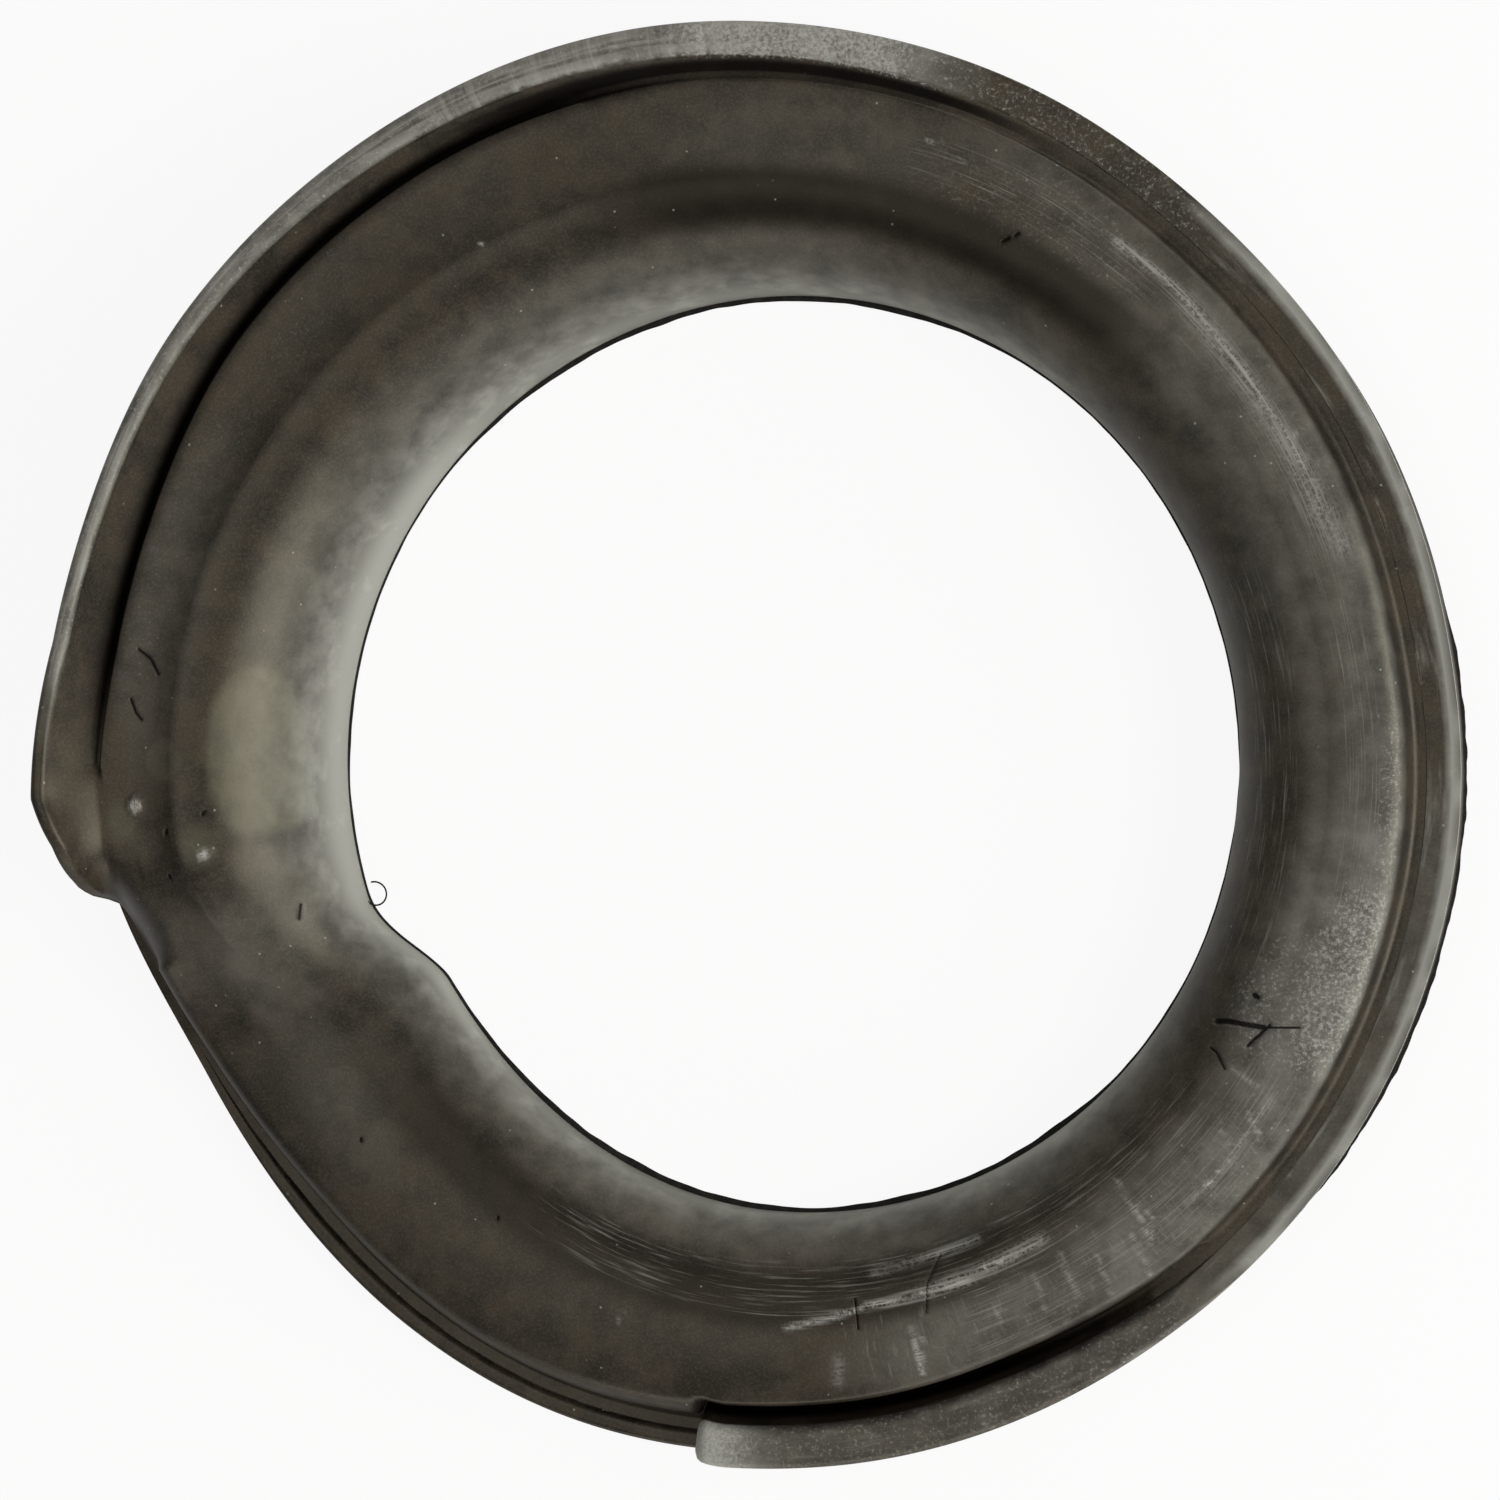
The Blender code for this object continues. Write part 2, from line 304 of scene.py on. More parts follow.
    def bore_radius(self, turn: float) -> float:
        """Return the bore's radius, which opens up to the step and bulges in after it.

        Args:
            turn: Turn angle in degrees.

        Returns:
            The radius.
        """
        oval = self.bore_oval * cos(2.0 * radians(turn - self.oval_turn))
        past = turn if turn >= self.bore_step_turn else turn + 360.0
        peak, end = 360.0 + self.bulge_peak_turn, 360.0 + self.bulge_end_turn
        if past > end:
            opened = ease(turn, self.bore_opens_turn, self.bore_step_turn)
            return self.bore + oval + self.bore_opening * opened
        widened = blend(self.bore_opening, -self.bore_bulge, ease(past, self.bore_step_turn, peak))
        return self.bore + oval + widened + self.bore_bulge * ease(past, peak, end)

    def shoulder_width(self, turn: float) -> float:
        """Return how wide the slope from the bore up to the seat is.

        Args:
            turn: Turn angle in degrees.

        Returns:
            The width, measured along a radius.
        """
        past = unwrap(turn)
        kept = 1.0 - ease(past, self.step_top_turn, self.shoulder_narrow_turn)
        widened = ease(past, self.shoulder_widens_turn, self.shoulder_wide_turn)
        return self.shoulder + self.shoulder_widening * kept * widened

    def seat_height(self, turn: float, radius: float) -> float:
        """Return the seat's height: a steady climb, then a straight slope back down.

        Args:
            turn: Turn angle in degrees.
            radius: Distance from the bore's axis.

        Returns:
            The height over the underside.
        """
        past = unwrap(turn)
        upper = self.seat_low + self.seat_rise * min(past, self.step_top_turn) / self.step_top_turn
        lower = self.seat_low + self.seat_rise * max(past - 360.0, 0.0) / self.step_top_turn
        if turn <= 180.0 and cos(self.bearing(turn)) > 0.0:
            return lower
        run = -radius * sin(self.bearing(turn))
        return blend(upper, lower, ease(run, self.step_top_run, self.step_foot_run))

    def nose(self, turn: float, span: float) -> float:
        """Return how far the lip's round start has grown, within span degrees, from 0 to 1."""
        left = 1.0 - min(max((turn - self.lip_start_turn) / span, 0.0), 1.0)
        return sqrt(1.0 - left * left)

    def lip_presence(self, turn: float) -> float:
        """Return 1 where the lip stands and 0 on the low flange.

        Args:
            turn: Turn angle in degrees.

        Returns:
            The presence, between 0 and 1 at the lip's ends.
        """
        fallen = (turn - self.rim_fall_turn) / (self.lip_end_turn - self.rim_fall_turn)
        power = self.rim_fall_power
        standing = (1.0 - min(max(fallen, 0.0), 1.0) ** power) ** (1.0 / power)
        return self.nose(turn, self.nose_rise) * standing

    def flange_growth(self, turn: float) -> float:
        """Return 0 at the step, where the body has no flange, and 1 where the flange is full."""
        return ease(unwrap(turn), self.flange_grows_turn, self.flange_grown_turn)

    def lip_height(self, turn: float) -> float:
        """Return the height of the lip's top, or of the flange where there is no lip.

        Args:
            turn: Turn angle in degrees.

        Returns:
            The height over the underside.
        """
        low = self.lip_lowest_turn
        sink = blend(self.lip_start_sink, self.lip_lowest_sink, ease(turn, self.lip_start_turn, low))
        lift = blend(-sink, self.rim_above_seat, ease(turn, low, self.rim_fall_turn))
        climb = self.seat_low + self.seat_rise * turn / self.step_top_turn
        tail = 1.0 - ease(unwrap(turn), self.rim_fall_turn, self.tail_end_turn)
        return blend(self.flange_height + self.tail_rise * tail, climb + lift, self.lip_presence(turn))

    def rimmed(self, turn: float) -> float:
        """Return how far the lip has become the tall rim at a turn angle, from 0 to 1."""
        grown = ease(turn, self.lip_lowest_turn, self.rim_fall_turn)
        return grown * ease(360.0 - turn, 0.0, 360.0 - self.lip_end_turn)

    def slit(self, turn: float) -> float:
        """Return how open the slit between body and lip is, from 0 to 1."""
        closing = ease(turn, self.slit_close_turn - self.slit_fade, self.slit_close_turn)
        return self.lip_presence(turn) * (1.0 - closing)

    def crease(self, turn: float) -> float:
        """Return the depth of the slit, of the rim's groove or of the crease by the flange.

        Args:
            turn: Turn angle in degrees.

        Returns:
            The depth.
        """
        kept = 1.0 - ease(turn, self.groove_fades_turn, self.groove_ends_turn)
        started = ease(turn, self.groove_starts_turn, self.swell_turn)
        groove = blend(self.lip_crease, self.rim_groove, kept * started)
        closed = blend(self.flange_crease * self.flange_growth(turn), groove, self.lip_presence(turn))
        return blend(closed, self.slit_depth, self.slit(turn))


class Zone(Enum):
    """Stretches of the ring's section, from the bore round to the underside."""

    LAND = 0
    SHOULDER = 1
    SEAT = 2
    ROLL = 3
    VALLEY = 4
    LIP_FACE = 5
    LIP_TOP = 6
    EDGE = 7
    WALL = 8
    BASE = 9


@dataclass(frozen=True)
class SectionPoint:
    """One point of the ring's section, and how far along its zone it lies."""

    radius: float
    height: float
    zone: Zone
    share: float


@dataclass
class SectionPath:
    """The ring's section, drawn point by point."""

    points: list[SectionPoint] = field(default_factory=list)

    def put(self, radius: float, height: float, zone: Zone, share: float) -> None:
        """Add one point."""
        self.points.append(SectionPoint(radius, height, zone, share))

    def line(self, start: Point, end: Point, zone: Zone, cuts: int) -> None:
        """Add the points of a straight run, without its first one.

        Args:
            start: Radius and height where the run starts.
            end: Radius and height where it ends.
            zone: Stretch of the section that the run is in.
            cuts: Number of points.
        """
        for i in range(1, cuts + 1):
            share = i / cuts
            self.put(blend(start[0], end[0], share), blend(start[1], end[1], share), zone, share)

    def arc(self, centre: Point, reach: Point, angles: Point, zone: Zone, cuts: int) -> None:
        """Add the points of an ellipse's arc, without its first one.

        Args:
            centre: Radius and height of the ellipse's middle.
            reach: Its half sizes across and upwards.
            angles: Angles in degrees between which the arc runs.
            zone: Stretch of the section that the arc is in.
            cuts: Number of points.
        """
        for i in range(1, cuts + 1):
            share = i / cuts
            angle = radians(blend(angles[0], angles[1], share))
            self.put(centre[0] + reach[0] * cos(angle), centre[1] + reach[1] * sin(angle), zone, share)


@dataclass(frozen=True)
class RingSection:
    """Cuts the ring's closed section at a turn angle, finely enough for close views."""

    laws: RingLaws
    foot_proud: float = 0.00015
    slit_closing: float = 0.0012
    crease_kept: float = 0.2
    crease_fade: float = 12.0
    groove_shows_turn: float = 248.0
    flare_kept: float = 0.5
    land_cuts: int = 3
    shoulder_cuts: int = 24
    seat_cuts: int = 24
    roll_cuts: int = 8
    face_cuts: int = 8
    round_cuts: int = 5
    top_cuts: int = 4
    wall_cuts: int = 5
    base_cuts: int = 4

    def at(self, turn: float) -> list[SectionPoint]:
        """Return the section's points in order, from the bore's foot up and over to the underside.

        Args:
            turn: Turn angle in degrees.

        Returns:
            The section's points.
        """
        laws = self.laws
        present, grown, slit = laws.lip_presence(turn), laws.flange_growth(turn), laws.slit(turn)
        bore = laws.bore_radius(turn)
        crest = bore + laws.shoulder_width(turn)
        outer = laws.wall_radius(turn)
        lip_top = laws.lip_height(turn)
        flange_width = blend(laws.tail_width, laws.flange_width, grown)
        lip_width = laws.lip_width + laws.lip_swell * hump(turn, laws.swell_turn, laws.swell_span)
        lip_foot = outer - self.flare_kept * laws.flare(turn) - blend(flange_width, lip_width, present)
        body_edge = lip_foot - blend(laws.crease_width, laws.slit_width, slit)
        edge_height = laws.seat_height(turn, body_edge)
        settled = window(turn, laws.slit_close_turn, self.groove_shows_turn, self.crease_fade)
        scaled = blend(1.0, self.crease_kept, settled)
        valley = min(edge_height, lip_top) - laws.crease(turn) * scaled
        roll_share = blend(blend(laws.tail_roll, laws.body_roll, grown), laws.lip_roll, present)
        roll = blend(roll_share * (edge_height - valley), laws.slit_edge_width, slit)
        seat_end = body_edge - roll
        lip_foot -= self.slit_closing * slit
        narrowed = ease(turn, laws.rim_narrows_turn, laws.rim_narrow_turn)
        lip_top_width = blend(laws.lip_top_width, laws.rim_top_width, narrowed) + self.slit_closing * slit
        top_width = blend(flange_width * laws.flange_top_share, lip_top_width, present)
        rounding = min(laws.lip_round, top_width * 0.45, (lip_top - valley) * 0.9)

        path = SectionPath()
        path.line((bore, 0.0), (bore, laws.bore_land), Zone.LAND, self.land_cuts)
        rise = laws.seat_height(turn, crest) - laws.bore_land
        slope = (crest - bore, rise)
        path.arc((crest, laws.bore_land), slope, (180.0, 90.0), Zone.SHOULDER, self.shoulder_cuts)
        swell = blend(laws.seat_crown, -laws.seat_dish, laws.rimmed(turn))
        for i in range(1, self.seat_cuts + 1):
            share = i / self.seat_cuts
            radius = blend(crest, seat_end, share)
            height = laws.seat_height(turn, radius) + swell * 4.0 * share * (1.0 - share)
            path.put(radius, height, Zone.SEAT, share)
        drop = laws.seat_height(turn, seat_end) - valley
        path.arc((seat_end, valley), (roll, drop), (90.0, 0.0), Zone.ROLL, self.roll_cuts)
        path.put((body_edge + lip_foot) / 2.0, valley - laws.crease_hollow * scaled, Zone.VALLEY, 0.5)
        path.put(lip_foot, valley, Zone.VALLEY, 1.0)
        face_top = (outer - top_width, lip_top - rounding)
        path.line((lip_foot, valley), face_top, Zone.LIP_FACE, self.face_cuts)
        inner = (face_top[0] + rounding, face_top[1])
        path.arc(inner, (rounding, rounding), (180.0, 90.0), Zone.LIP_TOP, self.round_cuts)
        path.line((inner[0], lip_top), (outer - rounding, lip_top), Zone.LIP_TOP, self.top_cuts)
        edge = (outer - rounding, face_top[1])
        path.arc(edge, (rounding, rounding), (90.0, 0.0), Zone.EDGE, self.round_cuts)
        path.line((outer, face_top[1]), (outer, laws.base_edge), Zone.WALL, self.wall_cuts)
        foot = outer + self.foot_proud
        path.line((foot, laws.base_edge - self.foot_proud), (foot, 0.0), Zone.BASE, 1)
        path.line((foot, 0.0), (bore, 0.0), Zone.BASE, self.base_cuts)
        return path.points


@dataclass(frozen=True)
class Mark:
    """A cut or rub drawn through places on the ring, each given as turn and radius."""

    places: Sequence[Point]
    width: float
    depth: float = 0.0
    pale: float = 0.0

    @cached_property
    def turns(self) -> Point:
        """Return the turn angles between which the mark matters."""
        turns = [turn for turn, _ in self.places]
        return min(turns) - MARK_MARGIN, max(turns) + MARK_MARGIN

    def reaches(self, turn: float) -> bool:
        """Return whether a turn angle is near enough for the mark to matter there."""
        return self.turns[0] < turn < self.turns[1]


@dataclass(frozen=True)
class Patch:
    """A soft-edged patch on the rubber, as an ellipse about a turn angle and a radius."""

    turn: float
    radius: float
    half_turn: float
    half_radius: float
    strength: float
    inner: float = 0.55
    outer: float = 1.35

    def at(self, turn: float, radius: float) -> float:
        """Return the patch's strength at a place."""
        off = hypot(turn_apart(turn, self.turn) / self.half_turn, (radius - self.radius) / self.half_radius)
        return self.strength * (1.0 - ease(off, self.inner, self.outer))


@dataclass(frozen=True)
class Reach:
    """A stretch with soft ends: where it begins, where it is full, and where it fades and is gone."""

    begins: float
    full: float
    fades: float
    gone: float

    def at(self, value: float) -> float:
        """Return 1 where the stretch is full, 0 outside it, and a smooth change between them."""
        return ease(value, self.begins, self.full) * (1.0 - ease(value, self.fades, self.gone))


WHOLE_ZONE = Reach(-2.0, -1.0, 2.0, 3.0)
RIM_AND_LIP = (Zone.LIP_TOP, Zone.EDGE)
SEAT = (Zone.SEAT,)
SHOULDER = (Zone.SHOULDER,)


@dataclass(frozen=True)
class Band:
    """A band of wear or of painted shade along the turn: its strength, its zones, its turn angles and its
    shares of them.
    """

    strength: float
    zones: tuple[Zone, ...]
    turns: Reach
    shares: Reach = WHOLE_ZONE

    def at(self, turn: float, zone: Zone, share: float) -> float:
        """Return the band's strength at a place."""
        return self.strength * self.turns.at(turn) * self.shares.at(share) if zone in self.zones else 0.0


@dataclass
class WearAndPaintedLightMap:
    """Where the ring is filmed, frosted, streaked, stained, rubbed and cut, and painted with highlight and
    shade.
    """

    laws: RingLaws
    # Each mark: its places as turn angle and radius, its width, and a cut's depth or a rub's paleness.
    cuts: Sequence[Mark] = (
        Mark(((322.6, 0.0711), (323.3, 0.0696), (324.6, 0.0684)), 0.00016, 0.00022),
        Mark(((327.1, 0.0713), (328.3, 0.0706), (328.9, 0.0699)), 0.00016, 0.00022),
        Mark(((121.5, 0.0557), (122.1, 0.0566), (123.5, 0.0604)), 0.00034, 0.00045),
        Mark(((123.5, 0.0604), (125.2, 0.0637)), 0.00014, 0.00025),
        Mark(((124.0, 0.0608), (121.1, 0.0599)), 0.00020, 0.00030),
        Mark(((126.0, 0.0579), (125.9, 0.0583)), 0.00034, 0.00040),
        Mark(((118.7, 0.0567), (118.7, 0.0575), (117.8, 0.0592)), 0.00014, 0.00022),
        Mark(((70.6, 0.0596), (70.6, 0.0629)), 0.00013, 0.00018),
        Mark(((80.7, 0.0570), (78.5, 0.0595), (78.1, 0.0609), (77.7, 0.0625)), 0.00010, 0.00015),
        Mark(((349.4, 0.0561), (350.9, 0.0568)), 0.00014, 0.00020),
        Mark(((337.8, 0.0626), (338.1, 0.0627)), 0.00026, 0.00015),
        Mark(((339.2, 0.0671), (339.5, 0.0672)), 0.00024, 0.00015),
        Mark(((343.4, 0.0678), (343.7, 0.0678)), 0.00024, 0.00015),
        Mark(((216.6, 0.0602), (216.2, 0.0608)), 0.00026, 0.00022),
        Mark(((215.7, 0.0613), (215.5, 0.0617)), 0.00024, 0.00020),
        Mark(((14.2, 0.0640), (14.4, 0.0642)), 0.00022, 0.00015),
        Mark(((30.5, 0.0602), (30.6, 0.0604)), 0.00020, 0.00015),
    )
    rubs: Sequence[Mark] = (
        Mark(((207.0, 0.0660), (200.0, 0.0660), (191.0, 0.0652), (183.0, 0.0649), (179.5, 0.0648)), 0.00046,
             pale=0.60),
        Mark(((198.0, 0.0656), (191.0, 0.0648), (184.0, 0.0645), (180.5, 0.0644)), 0.00120, pale=0.34),
        Mark(((180.5, 0.0645), (176.5, 0.0644), (171.5, 0.0650)), 0.00140, pale=0.36),
        Mark(((182.9, 0.0640), (182.6, 0.0658)), 0.00014, pale=0.60),
        Mark(((63.3, 0.0624), (67.8, 0.0615), (72.9, 0.0606), (76.9, 0.0603), (81.4, 0.0606), (90.5, 0.0596)),
             0.00030, pale=0.85),
        Mark(((78.0, 0.0604), (84.8, 0.0601), (91.5, 0.0597)), 0.00075, pale=0.46),
        Mark(((72.8, 0.0572), (77.7, 0.0570), (82.6, 0.0567), (85.1, 0.0567)), 0.00034, pale=0.48),
        Mark(((84.7, 0.0598), (85.0, 0.0600)), 0.00050, pale=0.90),
        Mark(((76.0, 0.0638), (75.9, 0.0687)), 0.00026, pale=0.80),
        Mark(((76.7, 0.0650), (75.9, 0.0687)), 0.00016, pale=0.50),
        Mark(((68.4, 0.0660), (68.0, 0.0683)), 0.00060, pale=0.28),
        Mark(((101.5, 0.0586), (101.1, 0.0638), (100.4, 0.0663)), 0.00018, pale=0.55),
        Mark(((101.1, 0.0612), (102.2, 0.0640), (100.4, 0.0663)), 0.00014, pale=0.40),
        Mark(((99.4, 0.0643), (99.0, 0.0675), (98.5, 0.0690)), 0.00020, pale=0.45),
        Mark(((115.6, 0.0640), (114.6, 0.0665)), 0.00022, pale=0.65),
        Mark(((118.3, 0.0600), (118.3, 0.0630)), 0.00020, pale=0.40),
        Mark(((113.0, 0.0622), (112.3, 0.0645)), 0.00020, pale=0.35),
        Mark(((105.6, 0.0655), (108.4, 0.0657), (110.5, 0.0655), (113.3, 0.0652), (118.0, 0.0650)), 0.00034,
             pale=0.42),
        Mark(((107.9, 0.0655), (108.6, 0.0657)), 0.00030, pale=1.00),
        Mark(((109.6, 0.0655), (109.9, 0.0656)), 0.00030, pale=0.90),
        Mark(((92.5, 0.0618), (92.0, 0.0668)), 0.00022, pale=0.40),
        Mark(((89.3, 0.0625), (88.8, 0.0664)), 0.00020, pale=0.36),
        Mark(((95.6, 0.0640), (94.8, 0.0683)), 0.00024, pale=0.40),
        Mark(((84.6, 0.0640), (84.2, 0.0662)), 0.00024, pale=0.35),
        Mark(((46.6, 0.0634), (46.3, 0.0648)), 0.00016, pale=0.35),
        Mark(((341.9, 0.0630), (342.2, 0.0634)), 0.00040, pale=1.00),
        Mark(((271.2, 0.0634), (271.3, 0.0638)), 0.00014, pale=0.90),
        Mark(((227.0, 0.0676), (225.2, 0.0679)), 0.00012, pale=0.45),
        Mark(((224.4, 0.0664), (222.6, 0.0667)), 0.00012, pale=0.35),
    )
    pip: Mark = Mark(((336.6, 0.0706), (336.7, 0.0707)), 0.0010, 0.00055, 0.60)
    # Each patch: the turn angle and radius of its middle, its half sizes there, its strength, and where
    # its edge starts and ends as a share of its half sizes.
    stains: Sequence[Patch] = (
        Patch(331.6, 0.0578, 9.6, 0.0046, 0.40, 0.86, 1.08),
        Patch(336.6, 0.0556, 4.6, 0.0026, 0.46, 0.70, 1.10),
        Patch(332.6, 0.0671, 2.0, 0.0023, 0.16, 0.80, 1.05),
        Patch(341.2, 0.0636, 2.6, 0.0024, 0.22, 0.40, 1.20),
        Patch(337.8, 0.0722, 2.2, 0.0018, 0.22, 0.40, 1.20),
    )
    films: Sequence[Patch] = (
        Patch(132.0, 0.0652, 20.0, 0.0090, 0.33),
        Patch(160.0, 0.0676, 22.0, 0.0070, 0.20),
        Patch(106.0, 0.0668, 18.0, 0.0078, 0.26),
        Patch(86.0, 0.0666, 16.0, 0.0060, 0.19),
        Patch(184.0, 0.0672, 18.0, 0.0066, 0.16),
        Patch(176.0, 0.0620, 34.0, 0.0080, 0.15),
        Patch(206.0, 0.0690, 18.0, 0.0050, 0.11),
        Patch(237.0, 0.0660, 14.0, 0.0050, 0.05),
        Patch(318.0, 0.0690, 16.0, 0.0044, 0.07),
        Patch(356.0, 0.0620, 9.0, 0.0050, 0.08),
        Patch(12.0, 0.0640, 8.0, 0.0040, 0.06),
    )
    # Each band: its strength, its zones, its turn angles, and its shares of those zones.
    film_bands: Sequence[Band] = (
        Band(0.50, RIM_AND_LIP, Reach(222.0, 231.0, 246.0, 255.0)),
        Band(0.30, RIM_AND_LIP, Reach(236.0, 250.0, 322.0, 334.0)),
        Band(0.80, RIM_AND_LIP, Reach(LIP_NOSE_EDGE - 0.3, LIP_NOSE_EDGE, 55.5, 65.0)),
        Band(0.12, RIM_AND_LIP, Reach(48.0, 62.0, 140.0, 154.0)),
        Band(0.10, (Zone.WALL,), Reach(52.0, 62.0, 334.0, 344.0), Reach(-2.0, -1.0, 0.1, 0.9)),
    )
    # Painted shade: black laid in the rim's groove, the valleys, the rim's inner face and by the flange.
    groove_turns: Reach = Reach(238.0, 264.0, 322.0, 337.0)
    closed_valley: float = 0.10
    closed_valley_turns: Reach = Reach(92.0, 104.0, 226.0, 238.0)
    rim_valley: float = 0.55
    rim_valley_turns: Reach = Reach(220.0, 232.0, 262.0, 274.0)
    rim_face_shade: float = 0.92
    rim_face_turns: Reach = Reach(212.0, 226.0, 262.0, 276.0)
    flange_shade: float = 0.40
    seat_edge_shade: float = 0.45
    # Painted highlights in the film's pale colour, on the lip's outer edge and along the bore.
    lip_edge_highlight: float = 0.88
    lip_edge_turns: Reach = Reach(96.0, 108.0, 196.0, 208.0)
    lip_edge_width: Point = (0.0008, 0.0018)
    bore_highlight: float = 0.70
    bore_highlight_in_rim: float = 0.18
    bore_highlight_rim_turns: Reach = Reach(276.0, 296.0, 366.0, 386.0)
    bore_highlight_by_slit: float = 0.20
    bore_highlight_slit_turn: float = 94.0
    bore_highlight_slit_span: float = 22.0
    bore_highlight_low: float = 0.20
    bore_highlight_low_turns: Reach = Reach(110.0, 126.0, 192.0, 208.0)
    frosts: Sequence[Patch] = (
        Patch(131.0, 0.0662, 11.0, 0.0056, 0.42),
        Patch(127.0, 0.0612, 9.0, 0.0062, 0.30),
        Patch(147.0, 0.0682, 14.0, 0.0036, 0.30),
        Patch(110.0, 0.0655, 14.0, 0.0060, 0.20),
        Patch(86.0, 0.0672, 14.0, 0.0042, 0.18),
        Patch(184.0, 0.0655, 14.0, 0.0050, 0.16),
        Patch(214.0, 0.0640, 14.0, 0.0070, 0.20),
        Patch(297.0, 0.0690, 12.0, 0.0050, 0.16),
        Patch(318.0, 0.0700, 14.0, 0.0040, 0.16),
        Patch(356.0, 0.0625, 12.0, 0.0060, 0.14),
    )
    frost_bands: Sequence[Band] = (
        Band(0.56, RIM_AND_LIP, Reach(225.0, 233.0, 246.0, 254.0)),
        Band(0.62, RIM_AND_LIP, Reach(LIP_NOSE_EDGE - 0.3, LIP_NOSE_EDGE, 55.5, 64.0)),
        Band(0.24, RIM_AND_LIP, Reach(52.0, 62.0, 96.0, 106.0)),
        Band(0.26, RIM_AND_LIP, Reach(193.0, 205.0, 322.0, 334.0)),
        Band(0.38, (Zone.LIP_FACE,), Reach(218.0, 228.0, 244.0, 254.0), Reach(0.5, 1.0, 2.0, 3.0)),
    )
    streak_bands: Sequence[Band] = (
        Band(0.30, SEAT, Reach(74.0, 84.0, 118.0, 128.0), Reach(-0.25, 0.0, 0.85, 1.10)),
        Band(0.26, SEAT, Reach(122.0, 140.0, 222.0, 240.0), Reach(0.10, 0.30, 0.72, 0.92)),
        Band(0.16, SEAT, Reach(288.0, 296.0, 338.0, 346.0), Reach(-0.08, 0.0, 0.10, 0.18)),
        Band(0.28, SHOULDER, Reach(26.0, 40.0, 110.0, 124.0), Reach(0.54, 0.66, 1.0, 1.12)),
        Band(0.26, SHOULDER, Reach(120.0, 130.0, 170.0, 180.0), Reach(0.35, 0.45, 0.80, 0.90)),
        Band(0.14, SHOULDER, Reach(288.0, 296.0, 338.0, 346.0), Reach(0.90, 1.0, 2.0, 3.0)),
        Band(0.50, (Zone.LIP_TOP,), Reach(238.0, 248.0, 324.0, 334.0), Reach(0.0, 0.5, 2.0, 3.0)),
        Band(0.24, (Zone.LIP_TOP,), Reach(50.0, 62.0, 205.0, 217.0)),
        Band(0.44, (Zone.EDGE,), Reach(84.0, 96.0, 322.0, 334.0)),
        Band(0.16, (Zone.WALL,), Reach(48.0, 60.0, 334.0, 346.0)),
    )
    scuff_bands: Sequence[Band] = (
        Band(0.22, SEAT, Reach(60.0, 72.0, 112.0, 124.0), Reach(-0.05, 0.15, 0.80, 1.00)),
        Band(0.40, RIM_AND_LIP, Reach(241.0, 246.0, 268.0, 273.0)),
    )
    # Painted shade: a dark, less shiny band along the crest above the bore's slope.
    painted_shade_bands: Sequence[Band] = (
        Band(1.00, SHOULDER, Reach(190.0, 206.0, 250.0, 266.0), Reach(0.60, 0.80, 1.1, 1.3)),
        Band(0.75, SHOULDER, Reach(2.0, 20.0, 82.0, 100.0), Reach(0.60, 0.80, 1.1, 1.3)),
        Band(0.18, SHOULDER, Reach(84.0, 100.0, 200.0, 216.0), Reach(0.60, 0.80, 1.1, 1.3)),
        Band(1.00, SEAT, Reach(190.0, 206.0, 250.0, 266.0), Reach(-2.0, -1.0, 0.02, 0.26)),
        Band(0.75, SEAT, Reach(2.0, 20.0, 82.0, 100.0), Reach(-2.0, -1.0, 0.02, 0.26)),
        Band(0.18, SEAT, Reach(84.0, 100.0, 200.0, 216.0), Reach(-2.0, -1.0, 0.02, 0.26)),
    )

    @cached_property
    def drawn(self) -> dict[Mark, list[Vector]]:
        """Return each mark's places as points on the plan."""
        return {mark: [self.laws.place(*place).xy for place in mark.places]
                for mark in (*self.cuts, *self.rubs, self.pip)}

    def distance(self, spot: Vector, mark: Mark) -> float:
        """Return how far a point is from a mark, on the plan.

        Args:
            spot: Point in the world.
            mark: Mark to measure to.

        Returns:
            The distance in metres.
        """
        points = self.drawn[mark]
        nearest = float("inf")
        for start, end in zip(points, points[1:]):
            along = end - start
            share = min(max((spot.xy - start).dot(along) / along.length_squared, 0.0), 1.0)
            nearest = min(nearest, (spot.xy - start - along * share).length)
        return nearest

    def strongest(self, patches: Sequence[Patch], turn: float, radius: float) -> float:
        """Return the strength of the strongest soft patch at a place."""
        return max(patch.at(turn, radius) for patch in patches)

    def banded(self, bands: Sequence[Band], turn: float, zone: Zone, share: float) -> float:
        """Return the strength of the strongest band at a place."""
        return max(band.at(turn, zone, share) for band in bands)

